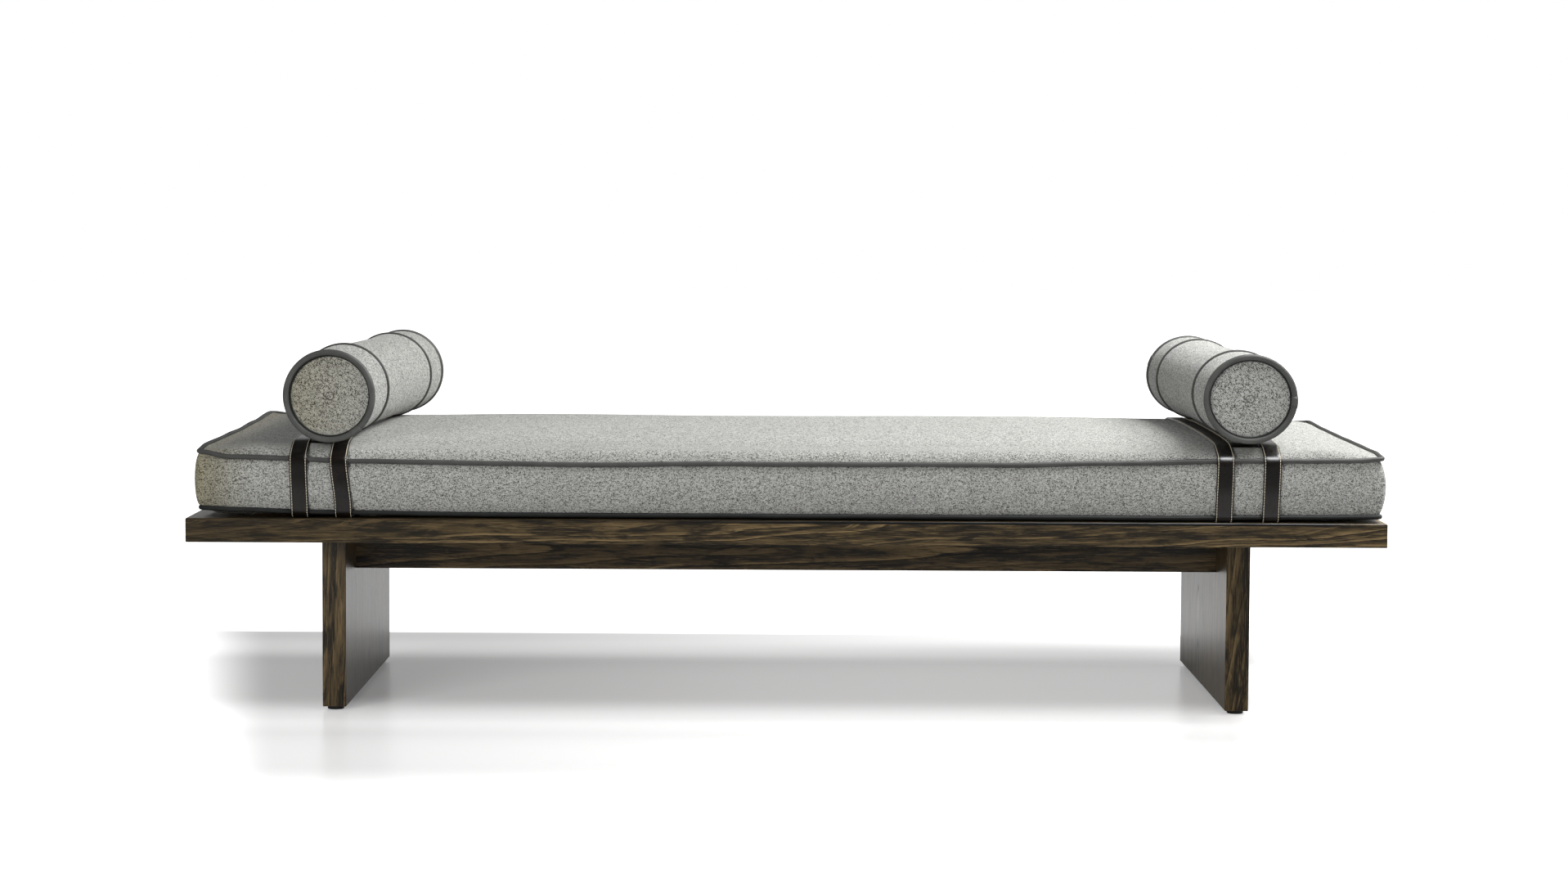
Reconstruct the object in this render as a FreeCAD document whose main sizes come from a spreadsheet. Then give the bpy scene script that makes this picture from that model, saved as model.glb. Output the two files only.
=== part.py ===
import FreeCAD, Part
import math
import os
import Sketcher
from FreeCAD import Placement, Rotation, Vector

# Backless divan: a slatted platform on two panel legs, a box mattress and two bolsters held by straps.
# Millimetres. +X runs along the divan, the front faces -Y, +Z is up, and the floor is z = 0.
# The origin is on the floor under the middle of the platform.

doc = FreeCAD.newDocument("BacklessDivan")
sheet = doc.addObject("Spreadsheet::Sheet", "Sizes")

driving_sizes = (
    ("platform_length", 2000, "overall length of the wooden platform"),
    ("platform_width", 850, "overall depth of the platform, front to back"),
    ("platform_height", 335, "floor to the top of the platform"),
    ("board_thickness", 40, "thickness of rails and legs"),
    ("rail_width", 90, "width of the four mitred rails"),
    ("cross_rail_width", 90, "width of the rails that cross the frame"),
    ("edge_ease", 1, "small chamfer on the edges that a hand meets"),
    ("slat_thickness", 18, "thickness of a slat, and depth of its rebate"),
    ("slat_width", 80, "width of a slat"),
    ("slat_round", 3, "rounding of the long upper edges of a slat"),
    ("slats_per_bay", 5, "slats in each of the two long bays"),
    ("rebate_width", 25, "width of the ledge that carries a slat's end"),
    ("slat_end_gap", 0.5, "room between a slat's end and its rebate"),
    ("spline_length", 80, "loose tongue in a mitre, along the joint"),
    ("spline_width", 24, "loose tongue across the joint"),
    ("spline_thickness", 5, "loose tongue thickness"),
    ("spline_rise", 16, "underside of a rail to the middle of a tongue"),
    ("leg_width", 650, "front to back width of a panel leg"),
    ("leg_inset", 214, "platform end to a leg's outer face"),
    ("glide_height", 6, "height of a glide under a leg"),
    ("glide_radius", 14, "radius of a glide"),
    ("glide_inset", 20, "leg's front or rear edge to a glide's centre"),
    ("glide_pin_radius", 2.5, "radius of the pin that holds a glide"),
    ("glide_pin_length", 16, "length of that pin inside the leg"),
    ("stretcher_height", 67, "height of the two stretchers"),
    ("stretcher_thickness", 30, "thickness of the two stretchers"),
    ("stretcher_setback", 140, "leg's front edge to a stretcher's face"),
    ("dowel_radius", 5, "beech dowel radius"),
    ("dowel_length", 50, "beech dowel length"),
    ("dowel_spacing", 44, "distance between the two dowels of a joint"),
    ("frame_screw_radius", 3.5, "screws through the cross rails"),
    ("frame_screw_length", 100, "their length"),
    ("frame_screw_spacing", 130, "distance between screws along a leg"),
    ("slat_screw_radius", 2, "screws at the ends of the slats"),
    ("slat_screw_length", 32, "their length"),
    ("screw_sink", 0.5, "depth of a screw head below the wood"),
    ("wood_fit", 0.1, "clearance round dowels, screws and pins"),
    ("mattress_margin", 22, "platform edge to the mattress's seam, all round"),
    ("band_height", 90, "height of the mattress border between its seams"),
    ("side_bulge", 10, "how far the border swells past its seams"),
    ("corner_radius", 12, "plan radius of the mattress corners"),
    ("shoulder_width", 38, "rounded shoulder inside the top seam, in plan"),
    ("shoulder_height", 27, "rise of that shoulder"),
    ("crown_rise", 5.4, "rise of the top from the shoulder to the middle"),
    ("crown_plateau", 70, "half width of the level middle of the top"),
    ("underside_inset", 14, "flat underside, in from the bottom seam"),
    ("piping_radius", 3.5, "radius of the mattress piping"),
    ("piping_stand", 0.8, "room between the piping and its seam, for the swell beside it"),
    ("cover_thickness", 1.5, "thickness of the upholstery cloth"),
    ("soft_gap", 0.3, "room between soft pieces and what they lie on"),
    ("strap_width", 30, "width of a leather strap"),
    ("strap_thickness", 2.5, "thickness of the leather"),
    ("left_outer_strap_inset", 189, "platform end to each strap's centre"),
    ("left_inner_strap_inset", 256, ""),
    ("right_inner_strap_inset", 269, ""),
    ("right_outer_strap_inset", 191, ""),
    ("bridge_width", 30, "leather bridge between two straps, front to back"),
    ("bridge_setback", 33, "mattress seam to the near edge of a bridge"),
    ("bolster_radius", 75, "radius of the bolster at its fullest"),
    ("end_seam_radius", 68.5, "radius of the end seams, where it draws in"),
    ("ring_seam_radius", 69.7, "radius at the two ring seams"),
    ("ring_seam_inset", 150, "end seam to ring seam"),
    ("end_dome", 6, "swell of the round ends"),
    ("end_piping_radius", 4.6, "radius of the thick piping at the ends"),
    ("ring_piping_radius", 3, "radius of the piping at the ring seams"),
    ("bolster_fall", 16, "length over which a bolster fills out from a seam"),
    ("fall_place", 0.4, "share of that length where the curve of the filling is set"),
    ("end_fall_left", 0.3, "share of the draw-in that is left there, beside an end"),
    ("ring_fall_left", 0.4, "the same beside a ring seam"),
    ("left_bolster_inset", 257, "platform end to each bolster's centre"),
    ("right_bolster_inset", 234, ""),
    ("left_bolster_turn", 2.4, "degrees that a bolster's rear end turns inward"),
    ("right_bolster_turn", 0.6, ""),
)
for row, (alias, amount, note) in enumerate(driving_sizes, start=1):
    sheet.set(f"A{row}", note)
    sheet.set(f"B{row}", str(amount))
    sheet.setAlias(f"B{row}", alias)
doc.recompute()


def size(expression):
    """The value now of an expression on the sheet's sizes."""
    return float(sheet.evalExpression(expression))


def named(alias):
    return float(sheet.get(alias))


# Places that several pieces share, as expressions on the sheet
half_length = "(Sizes.platform_length / 2)"
half_width = "(Sizes.platform_width / 2)"
platform_top = "Sizes.platform_height"
rail_bottom = "(Sizes.platform_height - Sizes.board_thickness)"
rail_middle = "(Sizes.platform_height - Sizes.board_thickness / 2)"
inner_half_width = f"({half_width} - Sizes.rail_width)"
leg_centre = f"({half_length} - Sizes.leg_inset - Sizes.board_thickness / 2)"
leg_inner_face = f"({half_length} - Sizes.leg_inset - Sizes.board_thickness)"
leg_height = f"({rail_bottom} - Sizes.glide_height)"
stretcher_front = "(Sizes.leg_width / 2 - Sizes.stretcher_setback)"
stretcher_centre = f"({stretcher_front} - Sizes.stretcher_thickness / 2)"
stretcher_bottom = f"({rail_bottom} - Sizes.stretcher_height)"
sides = (("left", "-"), ("right", "+"))
faces = (("front", "-"), ("rear", "+"))
nodes = []


def place(thing, x="0", y="0", z="0", turn=0, axis=Vector(0, 0, 1)):
    """Puts a piece where expressions on the sheet say."""
    thing.Placement = Placement(Vector(0, 0, 0), Rotation(axis, turn))
    for direction, expression in (("x", x), ("y", y), ("z", z)):
        thing.setExpression(f"Placement.Base.{direction}", expression)
    return thing


def outline(body, corners, role="XY_Plane", lift="0"):
    """A closed sketch whose corners are held by expressions on the sheet."""
    sketch = body.newObject("Sketcher::SketchObject", body.Name + "_outline")
    plane = next(item for item in body.Origin.OriginFeatures if item.Role == role)
    sketch.AttachmentSupport = [(plane, "")]
    sketch.MapMode = "FlatFace"
    sketch.setExpression("AttachmentOffset.Base.z", lift)
    points = [Vector(size(x), size(y), 0) for x, y in corners]
    count = len(points)
    for index in range(count):
        sketch.addGeometry(Part.LineSegment(points[index], points[(index + 1) % count]), False)
    for index in range(count):
        after = (index + 1) % count
        sketch.addConstraint(Sketcher.Constraint("Coincident", index, 2, after, 1))
    for index, corner in enumerate(corners):
        for kind, axis, expression in (("DistanceX", -2, corner[0]), ("DistanceY", -1, corner[1])):
            if expression == "0":
                sketch.addConstraint(Sketcher.Constraint("PointOnObject", index, 1, axis))
                continue
            held = Sketcher.Constraint(kind, -1, 1, index, 1, size(expression))
            sketch.setExpression(f"Constraints[{sketch.addConstraint(held)}]", expression)
    return sketch


def rectangle(length, width):
    return (("0", "0"), (length, "0"), (length, width), ("0", width))


def pad(body, sketch, height):
    feature = body.newObject("PartDesign::Pad", body.Name + "_pad")
    feature.Profile = sketch
    feature.setExpression("Length", height)
    doc.recompute()
    return feature


def ease(body, kind, amount, chosen):
    """Chamfers or fillets the edges of the body's tip that pass the test."""
    base = body.Tip
    edges = [f"Edge{i}" for i, edge in enumerate(base.Shape.Edges, start=1) if chosen(edge)]
    feature = body.newObject(f"PartDesign::{kind}", f"{body.Name}_{kind}")
    feature.Base = (base, edges)
    feature.setExpression("Size" if kind == "Chamfer" else "Radius", amount)
    doc.recompute()


def board(name, corners, height):
    body = doc.addObject("PartDesign::Body", name)
    pad(body, outline(body, corners), height)
    return body


def finish(name, thing, cutters=()):
    """Cuts joints out of a blank and registers the result as a node."""
    if cutters:
        thing.Label = name + "_blank"
        tools = group(name + "_joints", cutters) if len(cutters) > 1 else cutters[0]
        cut = doc.addObject("Part::Cut", name + "_cut")
        cut.Base = thing
        cut.Tool = tools
        thing = cut
    thing.Label = name
    nodes.append(thing)
    return thing


def group(name, members):
    gathered = doc.addObject("Part::Compound", name)
    gathered.Links = list(members)
    return gathered


def rod(name, radius, length, x, y, z, along):
    """A round pin centred on a point, along X, Y or Z."""
    pin = doc.addObject("Part::Cylinder", name)
    pin.setExpression("Radius", radius)
    pin.setExpression("Height", length)
    turns = {"x": (90, Vector(0, 1, 0)), "y": (-90, Vector(1, 0, 0)), "z": (0, Vector(0, 0, 1))}
    start = {"x": x, "y": y, "z": z}
    start[along] = f"{start[along]} - {length} / 2"
    turn, axis = turns[along]
    return place(pin, start["x"], start["y"], start["z"], turn, axis)


# Dowels: two in each end of a cross rail, two in each end of a stretcher
dowel_spots = []
for rail, across in (("left", f"-{leg_centre}"), ("middle", "0"), ("right", leg_centre)):
    for face, sign in faces:
        for side, step in sides:
            x = f"{across} {step} Sizes.dowel_spacing / 2"
            dowel_spots.append((f"{rail}_{face}_{side}", x, f"{sign}{inner_half_width}", rail_middle, "y"))
for face, sign in faces:
    for side, step in sides:
        for level, rise in (("low", "-"), ("high", "+")):
            z = f"{stretcher_bottom} + Sizes.stretcher_height / 2 {rise} Sizes.dowel_spacing / 2"
            spot = (f"{face}_{side}_{level}", f"{step}{leg_inner_face}", f"{sign}{stretcher_centre}", z, "x")
            dowel_spots.append(spot)


def dowel_set(prefix, room):
    pins = []
    for label, x, y, z, along in dowel_spots:
        radius = f"(Sizes.dowel_radius + {room})"
        length = f"(Sizes.dowel_length + 2 * {room})"
        pins.append(rod(f"{prefix}_{label}", radius, length, x, y, z, along))
    return group(prefix + "s", pins)


dowels = dowel_set("frame_dowel", "0")
dowel_holes = dowel_set("dowel_hole", "Sizes.wood_fit")
finish("frame_dowels", dowels)

# Loose tongues glued across the four mitres
tongues = []
for face, y_sign in faces:
    for side, x_sign in sides:
        tongue = board(
            f"spline_{face}_{side}",
            (
                ("-Sizes.spline_length / 2", "-Sizes.spline_width / 2"),
                ("Sizes.spline_length / 2", "-Sizes.spline_width / 2"),
                ("Sizes.spline_length / 2", "Sizes.spline_width / 2"),
                ("-Sizes.spline_length / 2", "Sizes.spline_width / 2"),
            ),
            "Sizes.spline_thickness",
        )
        corner_x = f"{x_sign}({half_length} - Sizes.rail_width / 2)"
        corner_y = f"{y_sign}({half_width} - Sizes.rail_width / 2)"
        turn = 45 if x_sign == y_sign else -45
        lift = f"{rail_bottom} + Sizes.spline_rise - Sizes.spline_thickness / 2"
        tongues.append(place(tongue, corner_x, corner_y, lift, turn))
corner_splines = group("corner_splines", tongues)
finish("corner_splines", corner_splines)


# Screws share one profile: a countersunk head on a plain shank, cut short of its tip
def screw_shape(radius, length, room=0.0, above=0.0):
    head = 2 * radius + room
    shank = radius + room
    cone = Part.makeCone(shank, head, radius, Vector(0, 0, -radius))
    body = Part.makeCylinder(shank, length - radius + room, Vector(0, 0, -length - room))
    screw = cone.fuse(body)
    if above:
        screw = screw.fuse(Part.makeCylinder(head, above))
    return screw.removeSplitter()


def screw_set(name, alias, spots, room=0.0):
    above = named("screw_sink") if room else 0.0
    one = screw_shape(named(alias + "_radius"), named(alias + "_length"), room, above)
    copies = []
    for x, y in spots:
        copy = one.copy()
        copy.translate(Vector(x, y, named("platform_height") - named("screw_sink")))
        copies.append(copy)
    screws = doc.addObject("Part::Feature", name)
    screws.Shape = Part.makeCompound(copies)
    return screws


frame_screw_spots = []
for sign in (-1, 1):
    for step in (-2, -1, 0, 1, 2):
        frame_screw_spots.append((sign * size(leg_centre), step * named("frame_screw_spacing")))
    frame_screw_spots.append((0.0, sign * size(stretcher_centre)))
finish("frame_screws", screw_set("frame_screws", "frame_screw", frame_screw_spots))
frame_screw_holes = screw_set("frame_screw_holes", "frame_screw", frame_screw_spots, named("wood_fit"))

# Slats: one in each short end bay, several in each long bay
rail_edge = size(half_length) - named("rail_width")
cross_half = named("cross_rail_width") / 2
leg_line = size(leg_centre)
slats_per_bay = int(round(named("slats_per_bay")))
bays = (
    (-rail_edge, -leg_line - cross_half, 1),
    (-leg_line + cross_half, -cross_half, slats_per_bay),
    (cross_half, leg_line - cross_half, slats_per_bay),
    (leg_line + cross_half, rail_edge, 1),
)
slat_centres = []
for start, end, count in bays:
    gap = (end - start - count * named("slat_width")) / (count + 1)
    for index in range(count):
        slat_centres.append(start + (index + 1) * gap + (index + 0.5) * named("slat_width"))
slat_reach = size(f"{half_width} - Sizes.rail_width + Sizes.rebate_width / 2")
slat_screw_spots = [(x, sign * slat_reach) for x in slat_centres for sign in (-1, 1)]
finish("slat_screws", screw_set("slat_screws", "slat_screw", slat_screw_spots))
slat_screw_holes = screw_set("slat_screw_holes", "slat_screw", slat_screw_spots, named("wood_fit"))

slat_length = (
    "(Sizes.platform_width - 2 * Sizes.rail_width + 2 * Sizes.rebate_width - 2 * Sizes.slat_end_gap)"
)
for number, centre in enumerate(slat_centres, start=1):
    slat = board(f"slat_{number}_body", rectangle("Sizes.slat_width", slat_length), "Sizes.slat_thickness")
    top_side = size("Sizes.slat_thickness")
    ease(
        slat,
        "Fillet",
        "Sizes.slat_round",
        lambda edge: edge.BoundBox.ZMin > top_side - 0.01 and edge.BoundBox.YLength > 1,
    )
    slat_underside = f"{platform_top} - Sizes.slat_thickness"
    place(slat, f"{centre} - Sizes.slat_width / 2", f"-{slat_length} / 2", slat_underside)
    finish(f"slat_{number:02d}", slat, (slat_screw_holes,))

# Four mitred rails; the front and rear ones are rebated for the slats
rails = (
    ("front_rail", "Sizes.platform_length", f"-{half_length}", f"-{half_width}", 0, True),
    ("rear_rail", "Sizes.platform_length", half_length, half_width, 180, True),
    ("left_end_rail", "Sizes.platform_width", f"-{half_length}", half_width, -90, False),
    ("right_end_rail", "Sizes.platform_width", half_length, f"-{half_width}", 90, False),
)
for name, length, x, y, turn, rebated in rails:
    mitred = (
        ("0", "0"),
        (length, "0"),
        (f"{length} - Sizes.rail_width", "Sizes.rail_width"),
        ("Sizes.rail_width", "Sizes.rail_width"),
    )
    rail = board(name + "_body", mitred, "Sizes.board_thickness")
    ease(
        rail,
        "Chamfer",
        "Sizes.edge_ease",
        lambda edge: edge.BoundBox.YMax < 0.01 and edge.BoundBox.XLength > 1,
    )
    if rebated:
        ledge = (
            ("Sizes.rail_width", "Sizes.rail_width - Sizes.rebate_width"),
            (f"{length} - Sizes.rail_width", "Sizes.rail_width - Sizes.rebate_width"),
            (f"{length} - Sizes.rail_width", "Sizes.rail_width"),
            ("Sizes.rail_width", "Sizes.rail_width"),
        )
        before = rail.Tip.Shape.Volume
        pocket = rail.newObject("PartDesign::Pocket", name + "_rebate")
        pocket.Profile = outline(rail, ledge, lift="Sizes.board_thickness")
        pocket.setExpression("Length", "Sizes.slat_thickness")
        doc.recompute()
        if not pocket.Shape.Volume < before:
            raise RuntimeError(name + ": the rebate removed nothing")
    place(rail, x, y, rail_bottom, turn)
    cutters = (corner_splines, dowel_holes, slat_screw_holes) if rebated else (corner_splines,)
    finish(name, rail, cutters)

# Rails across the frame, over each leg and in the middle
cross_rails = (
    ("left_cross_rail", f"-{leg_centre}"),
    ("middle_cross_rail", "0"),
    ("right_cross_rail", leg_centre),
)
for name, centre in cross_rails:
    shape = rectangle("Sizes.cross_rail_width", f"2 * {inner_half_width}")
    rail = board(name + "_body", shape, "Sizes.board_thickness")
    place(rail, f"{centre} - Sizes.cross_rail_width / 2", f"-{inner_half_width}", rail_bottom)
    finish(name, rail, (dowel_holes, frame_screw_holes))

# Glides: a turned disc with a pin that is driven into the leg
glide_pins = []
for side, x_sign in sides:
    for face, y_sign in faces:
        glide = doc.addObject("PartDesign::Body", f"{face}_{side}_glide_body")
        profile = (
            ("0", "0"),
            ("Sizes.glide_radius - Sizes.edge_ease", "0"),
            ("Sizes.glide_radius", "Sizes.edge_ease"),
            ("Sizes.glide_radius", "Sizes.glide_height"),
            ("Sizes.glide_pin_radius", "Sizes.glide_height"),
            ("Sizes.glide_pin_radius", "Sizes.glide_height + Sizes.glide_pin_length"),
            ("0", "Sizes.glide_height + Sizes.glide_pin_length"),
        )
        sketch = outline(glide, profile, role="XZ_Plane")
        turned = glide.newObject("PartDesign::Revolution", glide.Name + "_turned")
        turned.Profile = sketch
        turned.ReferenceAxis = (sketch, ["V_Axis"])
        turned.Angle = 360
        x = f"{x_sign}{leg_centre}"
        y = f"{y_sign}(Sizes.leg_width / 2 - Sizes.glide_inset)"
        place(glide, x, y, "0")
        finish(f"{face}_{side}_glide", glide)
        length = "(Sizes.glide_pin_length + 2 * Sizes.wood_fit)"
        z = "Sizes.glide_height + Sizes.glide_pin_length / 2"
        radius = "(Sizes.glide_pin_radius + Sizes.wood_fit)"
        glide_pins.append(rod(f"{face}_{side}_pin_hole", radius, length, x, y, z, "z"))
pin_holes = group("pin_holes", glide_pins)

# Panel legs and the two stretchers between them
for side, sign in sides:
    shape = rectangle("Sizes.board_thickness", "Sizes.leg_width")
    leg = board(side + "_leg_body", shape, leg_height)
    leg_top = size(leg_height)
    ease(leg, "Chamfer", "Sizes.edge_ease", lambda edge: edge.BoundBox.ZMin < leg_top - 0.01)
    x = f"{sign}{leg_centre} - Sizes.board_thickness / 2"
    place(leg, x, "-Sizes.leg_width / 2", "Sizes.glide_height")
    finish(side + "_leg", leg, (dowel_holes, frame_screw_holes, pin_holes))
for face, sign in faces:
    shape = rectangle(f"2 * {leg_inner_face}", "Sizes.stretcher_thickness")
    stretcher = board(face + "_stretcher_body", shape, "Sizes.stretcher_height")
    y = f"{sign}{stretcher_centre} - Sizes.stretcher_thickness / 2"
    place(stretcher, f"-{leg_inner_face}", y, stretcher_bottom)
    finish(face + "_stretcher", stretcher, (dowel_holes, frame_screw_holes))


# Soft pieces. Heights of the mattress, from the platform up
mattress_bottom = named("platform_height") + named("strap_thickness") + 2 * named("soft_gap")
low_seam = mattress_bottom + named("piping_radius")
high_seam = low_seam + named("band_height")
shoulder_top = high_seam + named("shoulder_height")
crown_top = shoulder_top + named("crown_rise")
half_mattress = size(half_width) - named("mattress_margin")
half_mattress_length = size(half_length) - named("mattress_margin")
shoulder_run, shoulder_lift = named("shoulder_width"), named("shoulder_height")
shoulder_radius = (shoulder_run ** 2 + shoulder_lift ** 2) / (2 * shoulder_lift)
crown_reach = half_mattress - named("shoulder_width")
crown_radius = (crown_reach ** 2 + named("crown_rise") ** 2) / (2 * named("crown_rise"))
shoulder_steps = 4
crown_steps = 3


def soft_piece(name, shape, placement=None):
    piece = doc.addObject("Part::Feature", name)
    piece.Shape = shape
    if placement:
        piece.Placement = placement
    piece.Label = name
    nodes.append(piece)
    return piece


def rounded_rectangle(inset, height):
    """The mattress in plan, drawn in by an inset from its seams."""
    a = half_mattress_length - inset
    b = half_mattress - inset
    r = max(named("corner_radius") - inset, named("piping_radius"))
    k = r * (1 - math.sqrt(0.5))
    corners = ((a, b, 1, 1), (-a, b, -1, 1), (-a, -b, -1, -1), (a, -b, 1, -1))
    arcs = []
    for x, y, sx, sy in corners:
        ends = [Vector(x, y - sy * r, height), Vector(x - sx * r, y, height)]
        if sx != sy:
            ends.reverse()
        middle = Vector(x - sx * k, y - sy * k, height)
        arcs.append(Part.Arc(ends[0], middle, ends[1]).toShape())
    edges = []
    for index, arc in enumerate(arcs):
        edges.append(arc)
        following = arcs[(index + 1) % 4]
        edges.append(Part.makeLine(arc.Vertexes[-1].Point, following.Vertexes[0].Point))
    return Part.Wire(edges)


def cushion(skin):
    """The crowned box cushion, drawn in by a skin all round."""
    bottom = [(named("underside_inset") + skin, mattress_bottom + skin), (skin, low_seam + skin)]
    middle = (low_seam + high_seam) / 2
    band = [(skin, low_seam + skin), (skin - named("side_bulge"), middle), (skin, high_seam)]
    start = math.acos(1 - named("shoulder_height") / shoulder_radius)
    radius = shoulder_radius - skin
    shoulder = [(skin, high_seam)]
    for step in range(1, shoulder_steps + 1):
        angle = start * (1 - step / shoulder_steps)
        inset = named("shoulder_width") - radius * math.sin(angle)
        shoulder.append((inset, shoulder_top - skin - radius * (1 - math.cos(angle))))
    crown = []
    for step in range(crown_steps + 1):
        inward = (crown_reach - named("crown_plateau")) * step / crown_steps
        crown_height = crown_top - skin - (crown_reach - inward) ** 2 / (2 * crown_radius)
        crown.append((named("shoulder_width") + inward, crown_height))
    shoulder[-1] = crown[0]
    solid = None
    for rings, ruled in ((bottom, True), (band, False), (shoulder, False), (crown, True)):
        layer = Part.makeLoft([rounded_rectangle(*ring) for ring in rings], True, ruled)
        solid = layer if solid is None else solid.fuse(layer)
    return solid


def bead_loop(height):
    """Piping that runs round a mattress seam, just outside the cloth."""
    radius = named("piping_radius")
    outset = radius + named("piping_stand")
    path = rounded_rectangle(-outset, height)
    start = path.Edges[0].Vertexes[0].Point
    heading = path.Edges[0].tangentAt(path.Edges[0].FirstParameter)
    circle = Part.Wire(Part.makeCircle(radius, start, heading))
    return path.makePipe(Part.Face(circle))


outer_cushion = cushion(0)
inner_cushion = cushion(named("cover_thickness"))
foam = cushion(named("cover_thickness") + named("soft_gap"))
soft_piece("mattress_cover", outer_cushion.cut(inner_cushion))
soft_piece("mattress_foam", foam)
soft_piece("mattress_top_piping", bead_loop(high_seam))
soft_piece("mattress_bottom_piping", bead_loop(low_seam))


# A strap is a taut belt round the cross-section: over the pipings, the border and the crown
def section_circles():
    radius = named("piping_radius")
    bead = half_mattress + radius + named("piping_stand")
    sag = named("side_bulge")
    band_radius = ((named("band_height") / 2) ** 2 + sag ** 2) / (2 * sag)
    band = half_mattress + sag - band_radius
    front = [
        (-bead, low_seam, radius),
        (-band, (low_seam + high_seam) / 2, band_radius),
        (-bead, high_seam, radius),
        (-crown_reach, shoulder_top - shoulder_radius, shoulder_radius),
    ]
    rear = [(-y, z, r) for y, z, r in reversed(front)]
    return front + [(0, crown_top - crown_radius, crown_radius)] + rear


def belt_wire(circles, grow, x):
    """The taut outline round circles (y, z, radius), pushed out by a distance."""
    normals = []
    for index, (y, z, r) in enumerate(circles):
        y_next, z_next, r_next = circles[(index + 1) % len(circles)]
        away = math.hypot(y_next - y, z_next - z)
        lean = math.acos((r - r_next) / away)
        heading = math.atan2(z_next - z, y_next - y)
        normals.append((math.cos(heading + lean), math.sin(heading + lean)))
    stops = []
    for index, (y, z, r) in enumerate(circles):
        before = normals[index - 1]
        after = normals[index]
        between = (before[0] + after[0], before[1] + after[1])
        length = math.hypot(*between)
        between = (between[0] / length, between[1] / length)
        reach = r + grow
        stops.append([Vector(x, y + n[0] * reach, z + n[1] * reach) for n in (before, between, after)])
    edges = []
    for index, (start, middle, end) in enumerate(stops):
        edges.append(Part.Arc(start, middle, end).toShape())
        edges.append(Part.makeLine(end, stops[(index + 1) % len(stops)][0]))
    return Part.Wire(edges)


def belt(x, width):
    inside = named("soft_gap")
    outside = inside + named("strap_thickness")
    circles = section_circles()
    start = x - width / 2
    outer = Part.Face(belt_wire(circles, outside, start)).extrude(Vector(width, 0, 0))
    inner = Part.Face(belt_wire(circles, inside, start)).extrude(Vector(width, 0, 0))
    return outer.cut(inner)


def inward_of_end(alias, sign):
    """The place along X of a piece given by its distance from the platform's end."""
    return sign * (size(half_length) - named(alias))


for side, sign in (("left", -1), ("right", 1)):
    inner_x = inward_of_end(side + "_inner_strap_inset", sign)
    outer_x = inward_of_end(side + "_outer_strap_inset", sign)
    soft_piece(side + "_outer_strap", belt(outer_x, named("strap_width")))
    soft_piece(side + "_inner_strap", belt(inner_x, named("strap_width")))
    between = abs(outer_x - inner_x) - named("strap_width")
    web = belt((inner_x + outer_x) / 2, between)
    for face, direction in (("front", -1), ("rear", 1)):
        near = half_mattress - named("bridge_setback")
        low = direction * near if direction < 0 else near - named("bridge_width")
        window = Part.makeBox(
            between, named("bridge_width"), named("shoulder_height") + named("band_height"),
            Vector((inner_x + outer_x) / 2 - between / 2, low, (low_seam + high_seam) / 2),
        )
        soft_piece(f"{side}_{face}_bridge", web.common(window))


# Bolsters reach from seam to seam of the mattress. They are turned about their own axis,
# then laid on their straps
half_bolster = half_mattress


def bolster_shape(skin):
    """The stuffed roll: domed ends, drawn in at the end seams and the two ring seams."""
    full = named("bolster_radius") - skin
    end = named("end_seam_radius") - skin
    ring = named("ring_seam_radius") - skin
    fall = named("bolster_fall")
    ring_y = half_bolster - named("ring_seam_inset")
    half = half_bolster - skin
    dome = named("end_dome")
    inward = fall * named("fall_place")
    end_middle = full - (full - end) * named("end_fall_left")
    ring_middle = full - (full - ring) * named("ring_fall_left")
    dome_radius = (end ** 2 + dome ** 2) / (2 * dome)
    dome_rise = dome - dome_radius + math.sqrt(dome_radius ** 2 - (end / 2) ** 2)
    edges = []

    def arc(start, middle, finish_point):
        points = [Vector(r, y, 0) for y, r in (start, middle, finish_point)]
        edges.append(Part.Arc(*points).toBSpline().toShape())

    def line(start, finish_point):
        ends = [Vector(r, y, 0) for y, r in (start, finish_point)]
        edges.append(Part.makeLine(*ends))

    arc((-half - dome, 0), (-half - dome_rise, end / 2), (-half, end))
    arc((-half, end), (-half + inward, end_middle), (-half + fall, full))
    line((-half + fall, full), (-ring_y - fall, full))
    arc((-ring_y - fall, full), (-ring_y - inward, ring_middle), (-ring_y, ring))
    arc((-ring_y, ring), (-ring_y + inward, ring_middle), (-ring_y + fall, full))
    line((-ring_y + fall, full), (ring_y - fall, full))
    arc((ring_y - fall, full), (ring_y - inward, ring_middle), (ring_y, ring))
    arc((ring_y, ring), (ring_y + inward, ring_middle), (ring_y + fall, full))
    line((ring_y + fall, full), (half - fall, full))
    arc((half - fall, full), (half - inward, end_middle), (half, end))
    arc((half, end), (half + dome_rise, end / 2), (half + dome, 0))
    line((half + dome, 0), (-half - dome, 0))
    face = Part.Face(Part.Wire(edges))
    return face.revolve(Vector(0, 0, 0), Vector(0, 1, 0), 360)


def ring_bead(radius, seam_radius, y, outward):
    """Piping round the roll; an end bead also stands out past the end."""
    stand = radius + named("soft_gap" if outward else "piping_stand")
    centre_radius = seam_radius + stand * (math.sqrt(0.5) if outward else 1)
    centre_y = y + outward * stand * math.sqrt(0.5)
    return Part.makeTorus(centre_radius, radius, Vector(0, centre_y, 0), Vector(0, 1, 0))


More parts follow.
